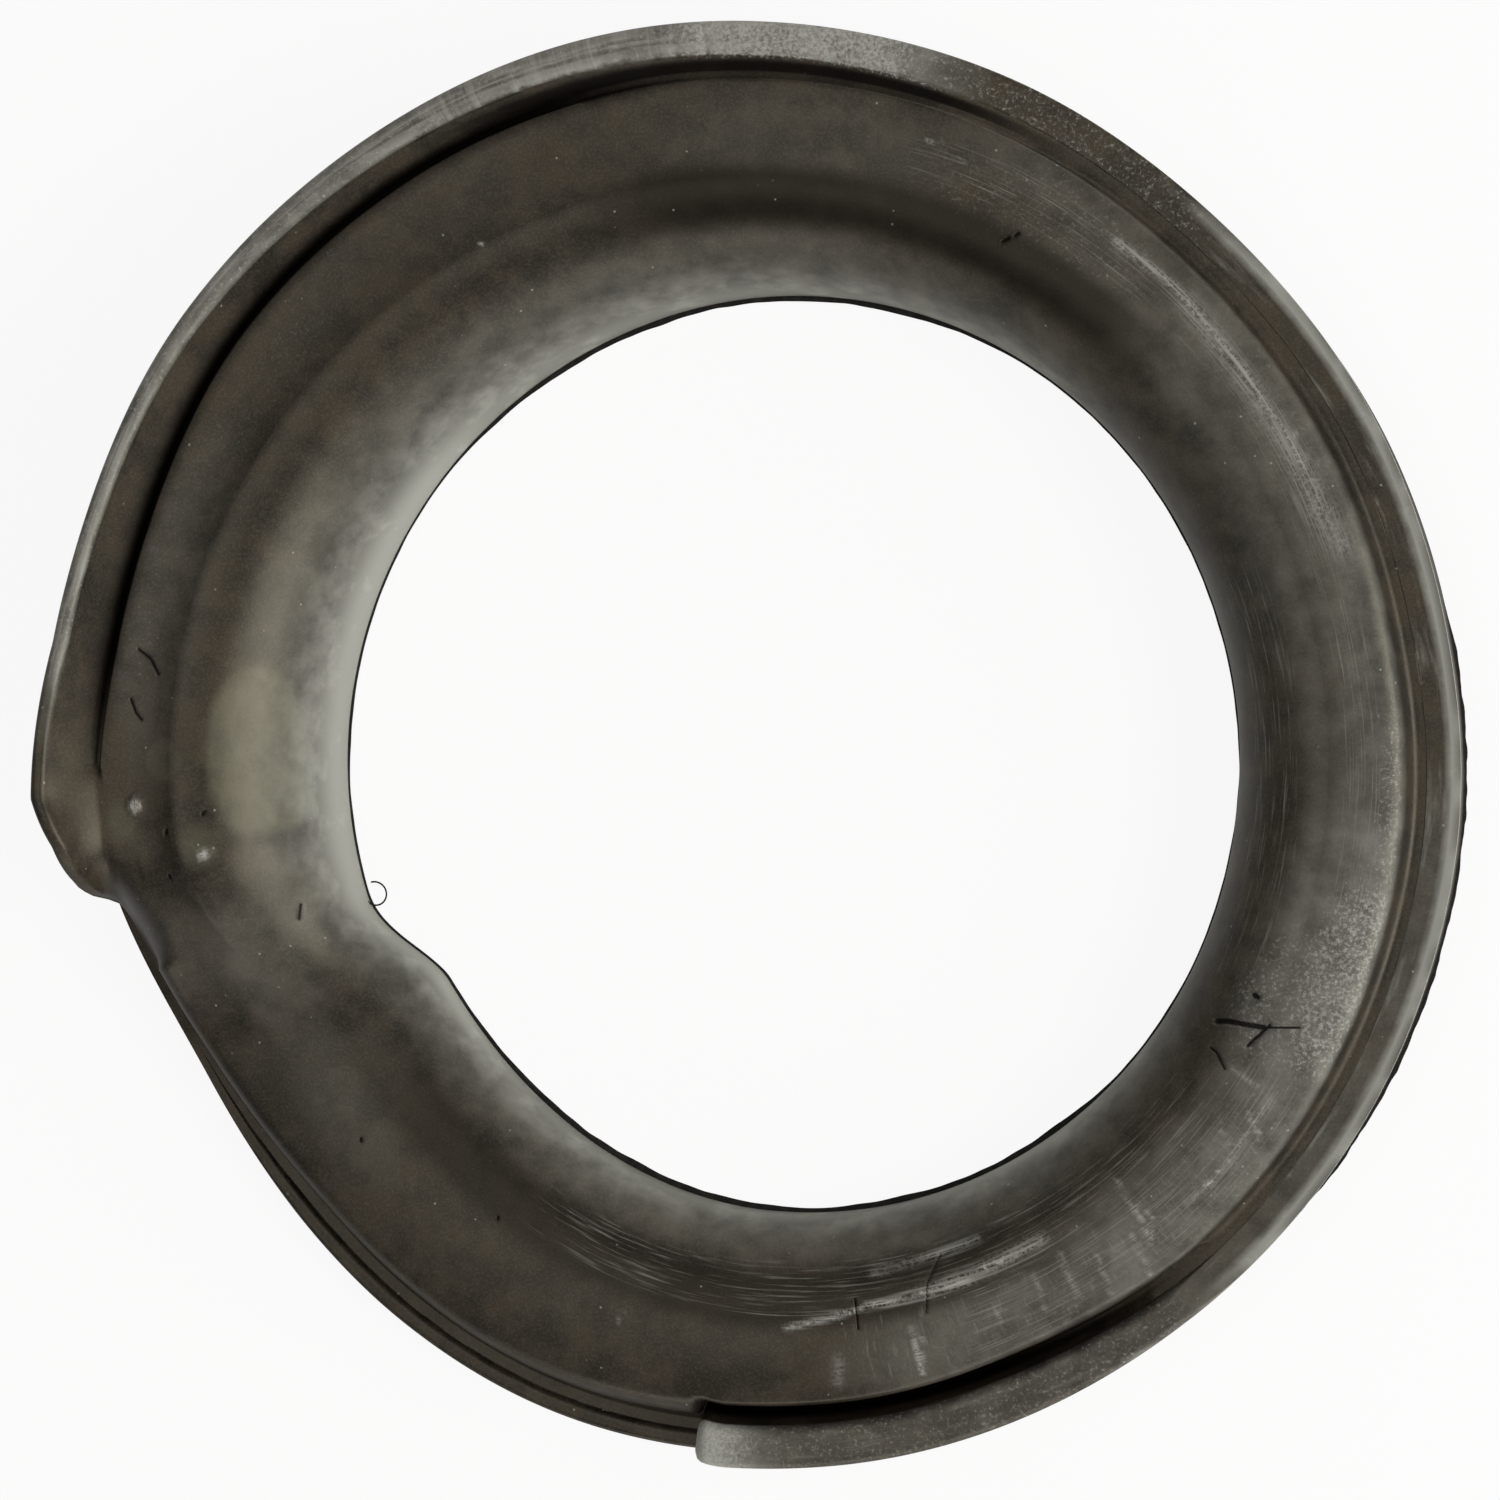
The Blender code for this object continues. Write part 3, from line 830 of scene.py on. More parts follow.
    def film_and_highlight(self, turn: float, radius: float, zone: Zone, share: float) -> float:
        """Return how far a smooth pale film and a painted highlight cover the rubber, from 0 to 1.

        Args:
            turn: Turn angle in degrees.
            radius: Distance from the bore's axis.
            zone: Stretch of the section that the place is in.
            share: How far along its zone the place is, from 0 to 1.

        Returns:
            The amount, from 0 to 1.
        """
        # Along the bore, the edge amount is a painted highlight; the patches are bloom film.
        if zone in (Zone.LAND, Zone.SHOULDER):
            near, wide = 1.0 - ease(share, 0.08, 0.50), 1.0 - ease(share, 0.3, 0.85)
            edge = 1.0 if zone is Zone.LAND else blend(near, wide, 0.25)
            by_rim = self.bore_highlight_in_rim * self.bore_highlight_rim_turns.at(unwrap(turn))
            by_slit = self.bore_highlight_by_slit * hump(turn, self.bore_highlight_slit_turn, self.bore_highlight_slit_span)
            full_highlight = self.bore_highlight + by_rim + by_slit
            kept = blend(full_highlight, self.bore_highlight_low, self.bore_highlight_low_turns.at(turn))
            return max(kept * edge, self.strongest(self.films, turn, radius))
        if zone in (Zone.SEAT, Zone.ROLL):
            fade = 1.0 if zone is Zone.SEAT else 1.0 - ease(share, 0.2, 0.7)
            return self.strongest(self.films, turn, radius) * fade
        banded = self.banded(self.film_bands, turn, zone, share)
        # On the rim and the lip, the pale strip along the outer edge is a painted highlight.
        if zone in RIM_AND_LIP:
            inward = self.laws.wall_radius(turn) - radius
            edge = self.lip_edge_highlight * (1.0 - ease(inward, *self.lip_edge_width))
            return max(banded, edge * self.lip_edge_turns.at(turn))
        return banded

    def frost(self, turn: float, radius: float, zone: Zone, share: float) -> float:
        """Return how far pale bloom speckles the rubber, from 0 to 1.

        Args:
            turn: Turn angle in degrees.
            radius: Distance from the bore's axis.
            zone: Stretch of the section that the place is in.
            share: How far along its zone the place is, from 0 to 1.

        Returns:
            The amount, from 0 to 1.
        """
        if zone in (Zone.SEAT, Zone.SHOULDER, Zone.ROLL):
            fade = 1.0 - share if zone is Zone.ROLL else 1.0
            return self.strongest(self.frosts, turn, radius) * fade
        return self.banded(self.frost_bands, turn, zone, share)

    def painted_shade(self, turn: float, zone: Zone, share: float) -> float:
        """Return how far painted shade blackens the slit, the groove and the creases, from 0 to 1.

        Args:
            turn: Turn angle in degrees.
            zone: Stretch of the section that the place is in.
            share: How far along its zone the place is, from 0 to 1.

        Returns:
            The amount, from 0 to 1.
        """
        slit = self.laws.slit(turn) ** 2
        groove = self.groove_turns.at(turn)
        valley = max(self.closed_valley * self.closed_valley_turns.at(turn),
                     self.rim_valley * self.rim_valley_turns.at(turn))
        flange = self.flange_shade * self.laws.flange_growth(turn) * (1.0 - self.laws.lip_presence(turn))
        deep = max(slit, groove, valley, flange)
        if zone is Zone.SEAT:
            return self.seat_edge_shade * groove * ease(share, 0.86, 1.0)
        if zone is Zone.VALLEY:
            return deep
        if zone is Zone.ROLL:
            reached = ease(share, blend(0.30, 0.45, slit), 0.95)
            return max(deep * reached, groove * blend(0.45, 1.0, ease(share, 0.0, 0.5)))
        if zone is Zone.LIP_FACE:
            shaded = self.rim_face_shade * self.rim_face_turns.at(turn) * (1.0 - ease(share, 0.55, 1.0))
            low = max(slit, 0.9 * groove, valley)
            low *= 1.0 - ease(share, blend(0.05, 0.35, slit), blend(0.60, 0.75, slit))
            return max(shaded, low)
        return 0.0


@dataclass(frozen=True)
class SoftStretch:
    """A stretch of the ring where the mould left the corner between the seat and the lip rounded."""

    start_turn: float
    end_turn: float
    seat_share: float
    passes: int


@dataclass
class MouldedRing:
    """The ring itself: one fine mesh that stands for the CAD solid."""

    section: RingSection
    wear_and_painted_light: WearAndPaintedLightMap
    stations: int = 840
    broad_wave: float = 0.014
    broad_height: float = 0.00012
    rim_wave: float = 0.006
    rim_height: float = 0.00018
    nick_turns: Sequence[float] = (246.5, 249.0, 250.6, 253.2, 255.0, 257.4, 258.6, 261.8)
    nick_depth: float = 0.0004
    nick_half_turn: float = 0.22
    cut_reach: float = 0.0009
    marked_above: float = 0.002
    soft_stretches: Sequence[SoftStretch] = (
        SoftStretch(333.0, 351.0, 0.62, 100),
        SoftStretch(104.0, 258.0, 0.90, 22),
    )

    def build(self) -> bpy.types.Object:
        """Spin the section round, set each ring of points on its own section, and mark it.

        Returns:
            The ring as an object.
        """
        mesh = bmesh.new()
        laws = self.section.laws
        turn_of = mesh.verts.layers.float.new("turn")
        row_of = mesh.verts.layers.int.new("row")
        first = self.section.at(0.0)
        spin_ring(mesh, row_of, [(point.radius, point.height) for point in first], self.stations)
        turns = [360.0 * i / self.stations for i in range(self.stations)]
        sections = [self.section.at(turn) for turn in turns]
        for vertex in mesh.verts:
            station = station_of(vertex, self.stations)
            point = sections[station][vertex[row_of]]
            vertex.co = laws.place(turns[station], point.radius, point.height)
            vertex[turn_of] = turns[station]
        face_outwards(mesh)
        self.settle(mesh, turn_of, row_of, first)
        self.lay_out_flat(mesh, turn_of, row_of, sections[0])
        self.refine(mesh, turn_of)
        self.mark(mesh, row_of, first)
        mesh.verts.layers.float.remove(mesh.verts.layers.float["turn"])
        mesh.verts.layers.int.remove(mesh.verts.layers.int["row"])
        return finished_piece("ring_of_moulded_rubber", mesh)

    def settle(self, mesh: bmesh.types.BMesh, turn_of: Layer, row_of: Layer,
               first: list[SectionPoint]) -> None:
        """Round the corner between the seat and the lip, as the mould did, most at the rim's end.

        Args:
            mesh: Bmesh of the ring.
            turn_of: Vertex layer with each vertex's turn angle.
            row_of: Vertex layer with each vertex's place along the section.
            first: Section whose points give each row its zone and share.
        """
        for stretch in self.soft_stretches:
            corner = []
            for vertex in mesh.verts:
                point = first[vertex[row_of]]
                by_lip = point.zone in (Zone.ROLL, Zone.VALLEY, Zone.LIP_FACE)
                by_seat = point.zone is Zone.SEAT and point.share > stretch.seat_share
                if stretch.start_turn < vertex[turn_of] < stretch.end_turn and (by_lip or by_seat):
                    corner.append(vertex)
            for _ in range(stretch.passes):
                bmesh.ops.smooth_vert(mesh, verts=corner, factor=0.5, use_axis_x=True, use_axis_y=True,
                                      use_axis_z=True)

    def lay_out_flat(self, mesh: bmesh.types.BMesh, turn_of: Layer, row_of: Layer,
                     across: list[SectionPoint]) -> None:
        """Lay the surface out as a UV map: metres along the turn, and metres across the section.

        Args:
            mesh: Bmesh of the ring.
            turn_of: Vertex layer with each vertex's turn angle.
            row_of: Vertex layer with each vertex's place along the section.
            across: Section whose lengths the map takes.
        """
        lengths = [0.0]
        for before, after in zip(across, across[1:]):
            lengths.append(lengths[-1] + hypot(after.radius - before.radius, after.height - before.height))
        closing = lengths[-1] + MM
        flat = mesh.loops.layers.uv.new("flat")
        metres_per_degree = radians(1.0) * (self.section.laws.bore + self.section.laws.outer) / 2.0
        last_row = len(lengths) - 1
        for face in mesh.faces:
            turns = [loop.vert[turn_of] for loop in face.loops]
            rows = [loop.vert[row_of] for loop in face.loops]
            wraps = max(turns) - min(turns) > 180.0
            closes = max(rows) - min(rows) > 1
            for loop, turn, row in zip(face.loops, turns, rows):
                along = turn + 360.0 if wraps and turn < 180.0 else turn
                upward = closing if closes and row != last_row else lengths[row]
                loop[flat].uv = (along * metres_per_degree, upward)

    def refine(self, mesh: bmesh.types.BMesh, turn_of: Layer) -> None:
        """Cut the faces near each cut finer, so that the cut has an edge.

        Args:
            mesh: Bmesh of the ring.
            turn_of: Vertex layer with each vertex's turn angle.
        """
        marks = [*self.wear_and_painted_light.cuts, self.wear_and_painted_light.pip]
        near = set()
        for vertex in mesh.verts:
            by = [mark for mark in marks if mark.reaches(vertex[turn_of])]
            reached = any(self.wear_and_painted_light.distance(vertex.co, mark) < self.cut_reach for mark in by)
            if vertex.co.z > self.marked_above and reached:
                near.add(vertex)
        edges = [edge for edge in mesh.edges if edge.verts[0] in near and edge.verts[1] in near]
        bmesh.ops.subdivide_edges(mesh, edges=edges, cuts=2, use_grid_fill=True)

    def mark(self, mesh: bmesh.types.BMesh, row_of: Layer, first: list[SectionPoint]) -> None:
        """Work the uneven surface, cuts, pip and nicks in, and write the wear and painted light attributes.

        Args:
            mesh: Bmesh of the ring.
            row_of: Vertex layer with each vertex's place along the section.
            first: Section whose points give each row its zone and share.
        """
        layers = {name: mesh.verts.layers.float.new(name) for name in WEAR_AND_PAINTED_LIGHT_LAYERS}
        mesh.normal_update()
        laws, wear_and_painted_light = self.section.laws, self.wear_and_painted_light
        moves = []
        for vertex in mesh.verts:
            point = first[vertex[row_of]]
            zone, share = point.zone, point.share
            x, y = vertex.co.x - laws.axis[0], vertex.co.y - laws.axis[1]
            turn, radius = laws.turn_of(x, y), hypot(x, y)
            # These hold wear, and painted light too: highlight in the film, shade in the band and the
            # creases.
            vertex[layers["film_and_highlight"]] = wear_and_painted_light.film_and_highlight(turn, radius, zone, share)
            vertex[layers["frost"]] = wear_and_painted_light.frost(turn, radius, zone, share)
            vertex[layers["streak"]] = wear_and_painted_light.banded(wear_and_painted_light.streak_bands, turn, zone, share)
            vertex[layers["scuff"]] = wear_and_painted_light.banded(wear_and_painted_light.scuff_bands, turn, zone, share)
            vertex[layers["painted_shade_band"]] = wear_and_painted_light.banded(wear_and_painted_light.painted_shade_bands, turn, zone, share)
            vertex[layers["painted_shade"]] = wear_and_painted_light.painted_shade(turn, zone, share)
            raised = 0.0
            if zone in (Zone.SEAT, Zone.SHOULDER, Zone.ROLL):
                vertex[layers["stain"]] = wear_and_painted_light.strongest(wear_and_painted_light.stains, turn, radius)
                depth, dark, pale = self.marks_at(vertex.co, turn)
                vertex[layers["cut"]] = dark
                vertex[layers["rub"]] = pale
                raised = self.broad_height * noise.noise(vertex.co / self.broad_wave) - depth
            elif zone is Zone.LIP_TOP:
                raised = -self.rim_height * abs(noise.noise(vertex.co / self.rim_wave))
                raised -= self.nick(turn, share)
            moves.append((vertex, vertex.normal * raised))
        for vertex, move in moves:
            vertex.co += move

    def marks_at(self, spot: Vector, turn: float) -> tuple[float, float, float]:
        """Return the depth, darkness and paleness that cuts, rubs and the pip give a place.

        Args:
            spot: Point in the world.
            turn: Turn angle in degrees.

        Returns:
            The depth in metres, and both shades from 0 to 1.
        """
        depth, dark, pale = 0.0, 0.0, 0.0
        for cut in self.wear_and_painted_light.cuts:
            if cut.reaches(turn):
                near = exp(-((self.wear_and_painted_light.distance(spot, cut) / cut.width) ** 2))
                depth, dark = max(depth, cut.depth * near), max(dark, near)
        for rub in self.wear_and_painted_light.rubs:
            if rub.reaches(turn):
                pale = max(pale, rub.pale * exp(-((self.wear_and_painted_light.distance(spot, rub) / rub.width) ** 2)))
        pip = self.wear_and_painted_light.pip
        if pip.reaches(turn):
            dome = 1.0 - ease(self.wear_and_painted_light.distance(spot, pip), pip.width * 0.5, pip.width)
            depth, pale = depth - pip.depth * dome, max(pale, pip.pale * dome)
        return depth, dark, pale

    def nick(self, turn: float, share: float) -> float:
        """Return how deep the small radial nicks cut the rim's inner edge."""
        nearest = min(abs(turn_apart(turn, place)) for place in self.nick_turns)
        return self.nick_depth * exp(-((nearest / self.nick_half_turn) ** 2)) * (1.0 - ease(share, 0.6, 1.0))


@dataclass(frozen=True)
class TornEdge:
    """How far torn flash stands out along the turn: in uneven tears, and least away from full_turns."""

    seed: float
    least: float
    most: float
    wave_degrees: float
    held_back: float
    full_turns: Sequence[Reach]
    middle: float = 0.45
    rough_share: float = 0.60
    fine_share: float = 0.22
    fine_factor: float = 4.0
    fine_seed: float = 7.0

    def reach(self, turn: float) -> float:
        """Return how far the flash stands out at a turn angle.

        Args:
            turn: Turn angle in degrees.

        Returns:
            The reach in metres.
        """
        scale = 360.0 / (2.0 * pi * self.wave_degrees)
        ring = Vector((cos(radians(turn)), sin(radians(turn)), 0.0)) * scale
        rough = noise.noise(ring + Vector((0.0, 0.0, self.seed)))
        fine = noise.noise(ring * self.fine_factor + Vector((0.0, 0.0, self.seed + self.fine_seed)))
        torn = min(max(self.middle + self.rough_share * rough + self.fine_share * fine, 0.0), 1.0)
        full = max(stretch.at(turn) for stretch in self.full_turns)
        return blend(self.least, self.most, torn) * blend(self.held_back, 1.0, full)


@dataclass
class MouldFlash:
    """The thin ragged fin of rubber that the mould's joint left along an edge."""

    name: str
    edge: Callable[[float], float]
    torn: TornEdge
    laws: RingLaws
    outward: bool
    bottom: float = 0.00006
    top: float = 0.00034
    sunk: float = 0.0004
    tip_share: float = 0.35
    stations: int = 840
    cuts: int = 3

    def build(self) -> bpy.types.Object:
        """Spin a flat strip once round and draw its free edge ragged.

        Returns:
            The flash as an object.
        """
        mesh = bmesh.new()
        row_of = mesh.verts.layers.int.new("row")
        profile = [(i / self.cuts, self.top) for i in range(self.cuts + 1)]
        profile += [(1.0 - i / self.cuts, self.bottom) for i in range(self.cuts + 1)]
        flat_strip = [(self.laws.bore + share * MM, height) for share, height in profile]
        spin_ring(mesh, row_of, flat_strip, self.stations)
        side = 1.0 if self.outward else -1.0
        for vertex in mesh.verts:
            turn = 360.0 * station_of(vertex, self.stations) / self.stations
            share, height = profile[vertex[row_of]]
            radius = self.edge(turn) + side * blend(-self.sunk, self.torn.reach(turn), share)
            thinned = self.bottom + (height - self.bottom) * blend(1.0, self.tip_share, share)
            vertex.co = self.laws.place(turn, radius, thinned)
        mesh.verts.layers.int.remove(row_of)
        face_outwards(mesh)
        return finished_piece(self.name, mesh)


@dataclass
class FlashHair:
    """The curled hair of torn flash that hangs at the bore's edge by the step."""

    laws: RingLaws
    turn: float = 350.2
    curl_radius: float = 0.00135
    thickness: float = 0.00010
    height: float = 0.00060
    sweep: float = 275.0
    start: float = 190.0
    steps: int = 40

    def build(self) -> bpy.types.Object:
        """Spin a small round section about the curl's middle.

        Returns:
            The hair as an object.
        """
        mesh = bmesh.new()
        bmesh.ops.create_circle(mesh, cap_ends=True, segments=8, radius=self.thickness)
        bmesh.ops.rotate(mesh, verts=mesh.verts, matrix=Matrix.Rotation(pi / 2.0, 3, "X"))
        bmesh.ops.translate(mesh, verts=mesh.verts, vec=(self.curl_radius, 0.0, 0.0))
        bmesh.ops.spin(mesh, geom=mesh.faces[:] + mesh.edges[:] + mesh.verts[:], cent=(0, 0, 0),
                       axis=(0, 0, 1), dvec=(0.0, 0.0, self.thickness * 0.25), angle=radians(self.sweep),
                       steps=self.steps)
        bmesh.ops.rotate(mesh, verts=mesh.verts, matrix=Matrix.Rotation(radians(self.start), 3, "Z"))
        radius = self.laws.bore_radius(self.turn) - self.curl_radius * 0.9
        bmesh.ops.translate(mesh, verts=mesh.verts, vec=self.laws.place(self.turn, radius, self.height))
        bmesh.ops.remove_doubles(mesh, verts=mesh.verts, dist=1e-7)
        bmesh.ops.recalc_face_normals(mesh, faces=mesh.faces)
        return finished_piece("hair_of_torn_flash", mesh)


def station_of(vertex: bmesh.types.BMVert, stations: int) -> int:
    """Return which of the equal cuts round the world's Z axis a vertex stands on."""
    return round(atan2(vertex.co.y, vertex.co.x) / (2.0 * pi) * stations) % stations


def face_outwards(mesh: bmesh.types.BMesh) -> None:
    """Turn the faces of a closed bmesh outwards.

    Args:
        mesh: Bmesh with one closed shell.
    """
    bmesh.ops.recalc_face_normals(mesh, faces=mesh.faces)
    if mesh.calc_volume(signed=True) < 0.0:
        bmesh.ops.reverse_faces(mesh, faces=mesh.faces)


def spin_ring(mesh: bmesh.types.BMesh, row_of: Layer, profile: Sequence[Point], stations: int) -> None:
    """Spin a closed profile once round the world's Z axis, coarsely first and then cut finer.

    Args:
        mesh: Empty bmesh that takes the ring.
        row_of: Vertex layer that takes each vertex's place along the profile.
        profile: Radius and height of each point.
        stations: Number of cuts round the ring, a multiple of SPIN_CUTS + 1.
    """
    outline = [mesh.verts.new((radius, 0.0, height)) for radius, height in profile]
    for row, vertex in enumerate(outline):
        vertex[row_of] = row
    edges = [mesh.edges.new((outline[i - 1], outline[i])) for i in range(len(outline))]
    bmesh.ops.spin(mesh, geom=outline + edges, cent=(0, 0, 0), axis=(0, 0, 1), angle=2.0 * pi,
                   steps=stations // (SPIN_CUTS + 1), use_merge=True)
    around = [edge for edge in mesh.edges if edge.verts[0][row_of] == edge.verts[1][row_of]]
    bmesh.ops.subdivide_edges(mesh, edges=around, cuts=SPIN_CUTS, use_grid_fill=True)


def finished_piece(name: str, mesh: bmesh.types.BMesh) -> bpy.types.Object:
    """Turn a bmesh into a smooth-shaded object at the world's origin.

    Args:
        name: Name of the new object.
        mesh: Bmesh to take; it is freed.

    Returns:
        The object, linked to the scene.
    """
    data = bpy.data.meshes.new(name)
    mesh.to_mesh(data)
    mesh.free()
    data.shade_smooth()
    data.set_sharp_from_angle(angle=radians(SHARP_ANGLE))
    piece = bpy.data.objects.new(name, data)
    bpy.context.scene.collection.objects.link(piece)
    return piece


def start_material(name: str) -> tuple[bpy.types.Material, bpy.types.NodeTree, bpy.types.Node]:
    """Start a node material.

    Args:
        name: Name of the material.

    Returns:
        The material, its node tree and its Principled shader.
    """
    material = bpy.data.materials.new(name)
    material.use_nodes = True
    tree = material.node_tree
    return material, tree, tree.nodes["Principled BSDF"]


@dataclass(frozen=True)
class Noise:
    """A noise on the rubber: how wide its lumps are, and how fine its detail is."""

    name: str
    size_mm: float
    detail: float
    roughness: float


@dataclass(frozen=True)
class Stroke:
    """A noise drawn out to strokes: their size along and across the ring's turn."""

    name: str
    along_mm: float
    across_mm: float


@dataclass(frozen=True)
class Fleck:
    """Pale wear that shows as flecks: its wear layer, the pattern it breaks up on, and its strength."""

    layer: str
    pattern: str
    strength: float


@dataclass(frozen=True)
class AgedRubber:
    """Natural rubber filled with carbon black, moulded in a smooth steel tool and aged in service.

    Filled rubber is brown-black and satin, and its shine is a little warm. Its wax has come out as a
    pale grey bloom: a smooth film where nothing touched it, and specks and strokes where the spring
    rubbed it. The film's pale colour is also laid along the bore and the lip's outer edge as a painted
    highlight. A painted shade band, dark and less shiny, runs along the crest above the bore's slope,
    and black painted shade fills the slit, the groove, the creases and the cuts.
    """

    name: str = "aged_moulded_rubber"
    ior: float = 1.52
    shine: str = "fff3d8"
    deep: str = "15110c"
    brown: str = "30281e"
    # Bloom film; the same colour is laid as painted highlight along the bore and the lip's outer edge.
    film_and_highlight: str = "abaca3"
    bloom: str = "b0afa7"
    streaked: str = "96958d"
    stain: str = "77755f"
    rubbed: str = "b4b3ab"
    # Painted shade: the dark band along the crest above the bore's slope.
    painted_shade_tone: str = "0b0907"
    # Painted shade: the black in the slit, the groove, the creases and the cuts.
    black: str = "040303"

    # Carbon black and wax lie unevenly in the rubber, over 12 mm and 3.5 mm. The tool's grain is about
    # 0.05 mm and the wax's crystals about 0.1 mm: both are too fine to show, so they are drawn as coarse
    # as they need to be, at 0.26 mm and 0.42 mm.
    noises: Sequence[Noise] = (
        Noise("mottle", 12.0, 5.0, 0.60),
        Noise("cloud", 3.5, 4.0, 0.60),
        Noise("grain", 0.26, 2.0, 0.50),
        Noise("speckle", 0.42, 3.0, 0.75),
    )
    # Grit rubs lines about 0.1 mm wide into the bloom. They are drawn three to five times as wide, so
    # that they show.
    strokes: Sequence[Stroke] = (
        Stroke("streaks", 8.0, 0.30),
        Stroke("scuffs", 0.45, 5.0),
    )
    flecks: Sequence[Fleck] = (
        Fleck("frost", "speckle", 0.75),
        Fleck("streak", "streaks", 0.60),
        Fleck("scuff", "scuffs", 0.50),
    )
    # Specks of dust are about 0.25 mm wide and stand in some of the cells.
    dust_cell_mm: float = 1.6
    dust_strength: float = 0.45
    grain_strength: float = 0.05
    painted_shade_strength: float = 0.80
    cut_strength: float = 0.85
    stain_dip: float = 0.30
    film_dip: float = 0.60

    def make(self) -> bpy.types.Material:
        """Build the node material.

        Returns:
            The material.
        """
        material, tree, shader = start_material(self.name)
        shader.inputs["IOR"].default_value = self.ior
        shader.inputs["Specular Tint"].default_value = linear(self.shine)
        patterns = self.draw_patterns(tree)
        masks = self.draw_bloom_and_painted_light(tree, patterns)
        masks["rub"] = self.draw_rubs(tree, patterns)
        masks["dust"] = self.draw_dust(tree)
        masks["black"] = self.draw_painted_shade(tree)
        self.colour_rubber(tree, shader, patterns, masks)
        self.set_gloss(tree, shader, patterns, masks)
        self.raise_relief(tree, shader, patterns, masks)
        return material

    def draw_patterns(self, tree: bpy.types.NodeTree) -> dict[str, Socket]:
        """Draw the noises on the body and the strokes along the ring's turn.

        Args:
            tree: Node tree of the material.

        Returns:
            The output socket of each pattern, by its name.
        """
        place = add_node(tree, "TexCoord")
        patterns = {}
        for lumps in self.noises:
            settings = {"Scale": MM_PER_METRE / lumps.size_mm, "Detail": lumps.detail,
                        "Roughness": lumps.roughness}
            pattern = add_node(tree, "TexNoise", settings, {"Vector": place.outputs["Object"]})
            patterns[lumps.name] = pattern.outputs["Fac"]
        for stroke in self.strokes:
            scale = (MM_PER_METRE / stroke.along_mm, MM_PER_METRE / stroke.across_mm, 1.0)
            drawn = add_node(tree, "Mapping", {"Scale": scale}, {"Vector": place.outputs["UV"]})
            settings = {"Scale": 1.0, "Detail": 3.0, "Roughness": 0.6}
            pattern = add_node(tree, "TexNoise", settings, {"Vector": drawn.outputs["Vector"]})
            patterns[stroke.name] = pattern.outputs["Fac"]
        return patterns

    def draw_bloom_and_painted_light(self, tree: bpy.types.NodeTree, patterns: dict[str, Socket]) -> dict[str, Socket]:
        """Draw the bloom, its film and painted highlight, its flecks, the stains, and the painted shade band.

        Args:
            tree: Node tree of the material.
            patterns: Output socket of each pattern.

        Returns:
            The output socket of each mask, by its name.
        """
        wear_and_painted_light = {name: add_node(tree, "Attribute", {"attribute_name": name}).outputs["Fac"]
                for name in WEAR_AND_PAINTED_LIGHT_LAYERS if name not in ("cut", "rub", "painted_shade")}
        settings = {"interpolation_type": "SMOOTHSTEP", "From Min": 0.40, "From Max": 0.75,
                    "To Max": self.grain_strength}
        crest = add_node(tree, "MapRange", settings, {"Value": patterns["grain"]})
        masks = {"grain": crest.outputs["Result"]}
        for layer, dip in (("stain", self.stain_dip), ("film_and_highlight", self.film_dip)):
            uneven = add_node(tree, "MapRange", {"From Min": 0.32, "From Max": 0.68, "To Min": 1.0 - dip},
                              {"Value": patterns["cloud"]})
            clouded = add_node(tree, "Math", {"operation": "MULTIPLY"},
                               {0: wear_and_painted_light[layer], 1: uneven.outputs["Result"]})
            masks[layer] = clouded.outputs[0]
        dense = add_node(tree, "Math", {"operation": "MULTIPLY"}, {0: wear_and_painted_light["film_and_highlight"], 1: wear_and_painted_light["film_and_highlight"]})
        film_and_highlight = add_node(tree, "Math", {"operation": "MAXIMUM"}, {0: masks["film_and_highlight"], 1: dense.outputs[0]})
        masks["film_and_highlight"] = film_and_highlight.outputs[0]
        for fleck in self.flecks:
            raised = add_node(tree, "Math", {"operation": "MULTIPLY_ADD", 1: 0.60},
                              {0: wear_and_painted_light[fleck.layer], 2: patterns[fleck.pattern]})
            settings = {"interpolation_type": "SMOOTHSTEP", "From Min": 0.66, "From Max": 0.98,
                        "To Max": fleck.strength}
            shown = add_node(tree, "MapRange", settings, {"Value": raised.outputs[0]})
            settings = {"interpolation_type": "SMOOTHSTEP", "From Min": 0.02, "From Max": 0.30}
            present = add_node(tree, "MapRange", settings, {"Value": wear_and_painted_light[fleck.layer]})
            flecked = add_node(tree, "Math", {"operation": "MULTIPLY"},
                               {0: shown.outputs["Result"], 1: present.outputs["Result"]})
            masks[fleck.layer] = flecked.outputs[0]
        painted_shade_band = add_node(tree, "Math", {"operation": "MULTIPLY", 1: self.painted_shade_strength},
                          {0: wear_and_painted_light["painted_shade_band"]})
        masks["painted_shade_band"] = painted_shade_band.outputs[0]
        return masks

    def draw_rubs(self, tree: bpy.types.NodeTree, patterns: dict[str, Socket]) -> Socket:
        """Draw the single rub marks, broken up as the rubber's high spots took them.

        Args:
            tree: Node tree of the material.
            patterns: Output socket of each pattern.

        Returns:
            The output socket of the mask.
        """
        rubbed = add_node(tree, "Attribute", {"attribute_name": "rub"})
        settings = {"interpolation_type": "SMOOTHSTEP", "From Min": 0.40, "From Max": 0.62}
        specks = add_node(tree, "MapRange", settings, {"Value": patterns["speckle"]})
        settings = {"interpolation_type": "SMOOTHSTEP", "From Min": 0.42, "From Max": 0.60}
        lines = add_node(tree, "MapRange", settings, {"Value": patterns["streaks"]})
        broken = add_node(tree, "Math", {"operation": "MAXIMUM"},
                          {0: specks.outputs["Result"], 1: lines.outputs["Result"]})
        mask = add_node(tree, "Math", {"operation": "MULTIPLY"},
                        {0: rubbed.outputs["Fac"], 1: broken.outputs[0]})
        return mask.outputs[0]

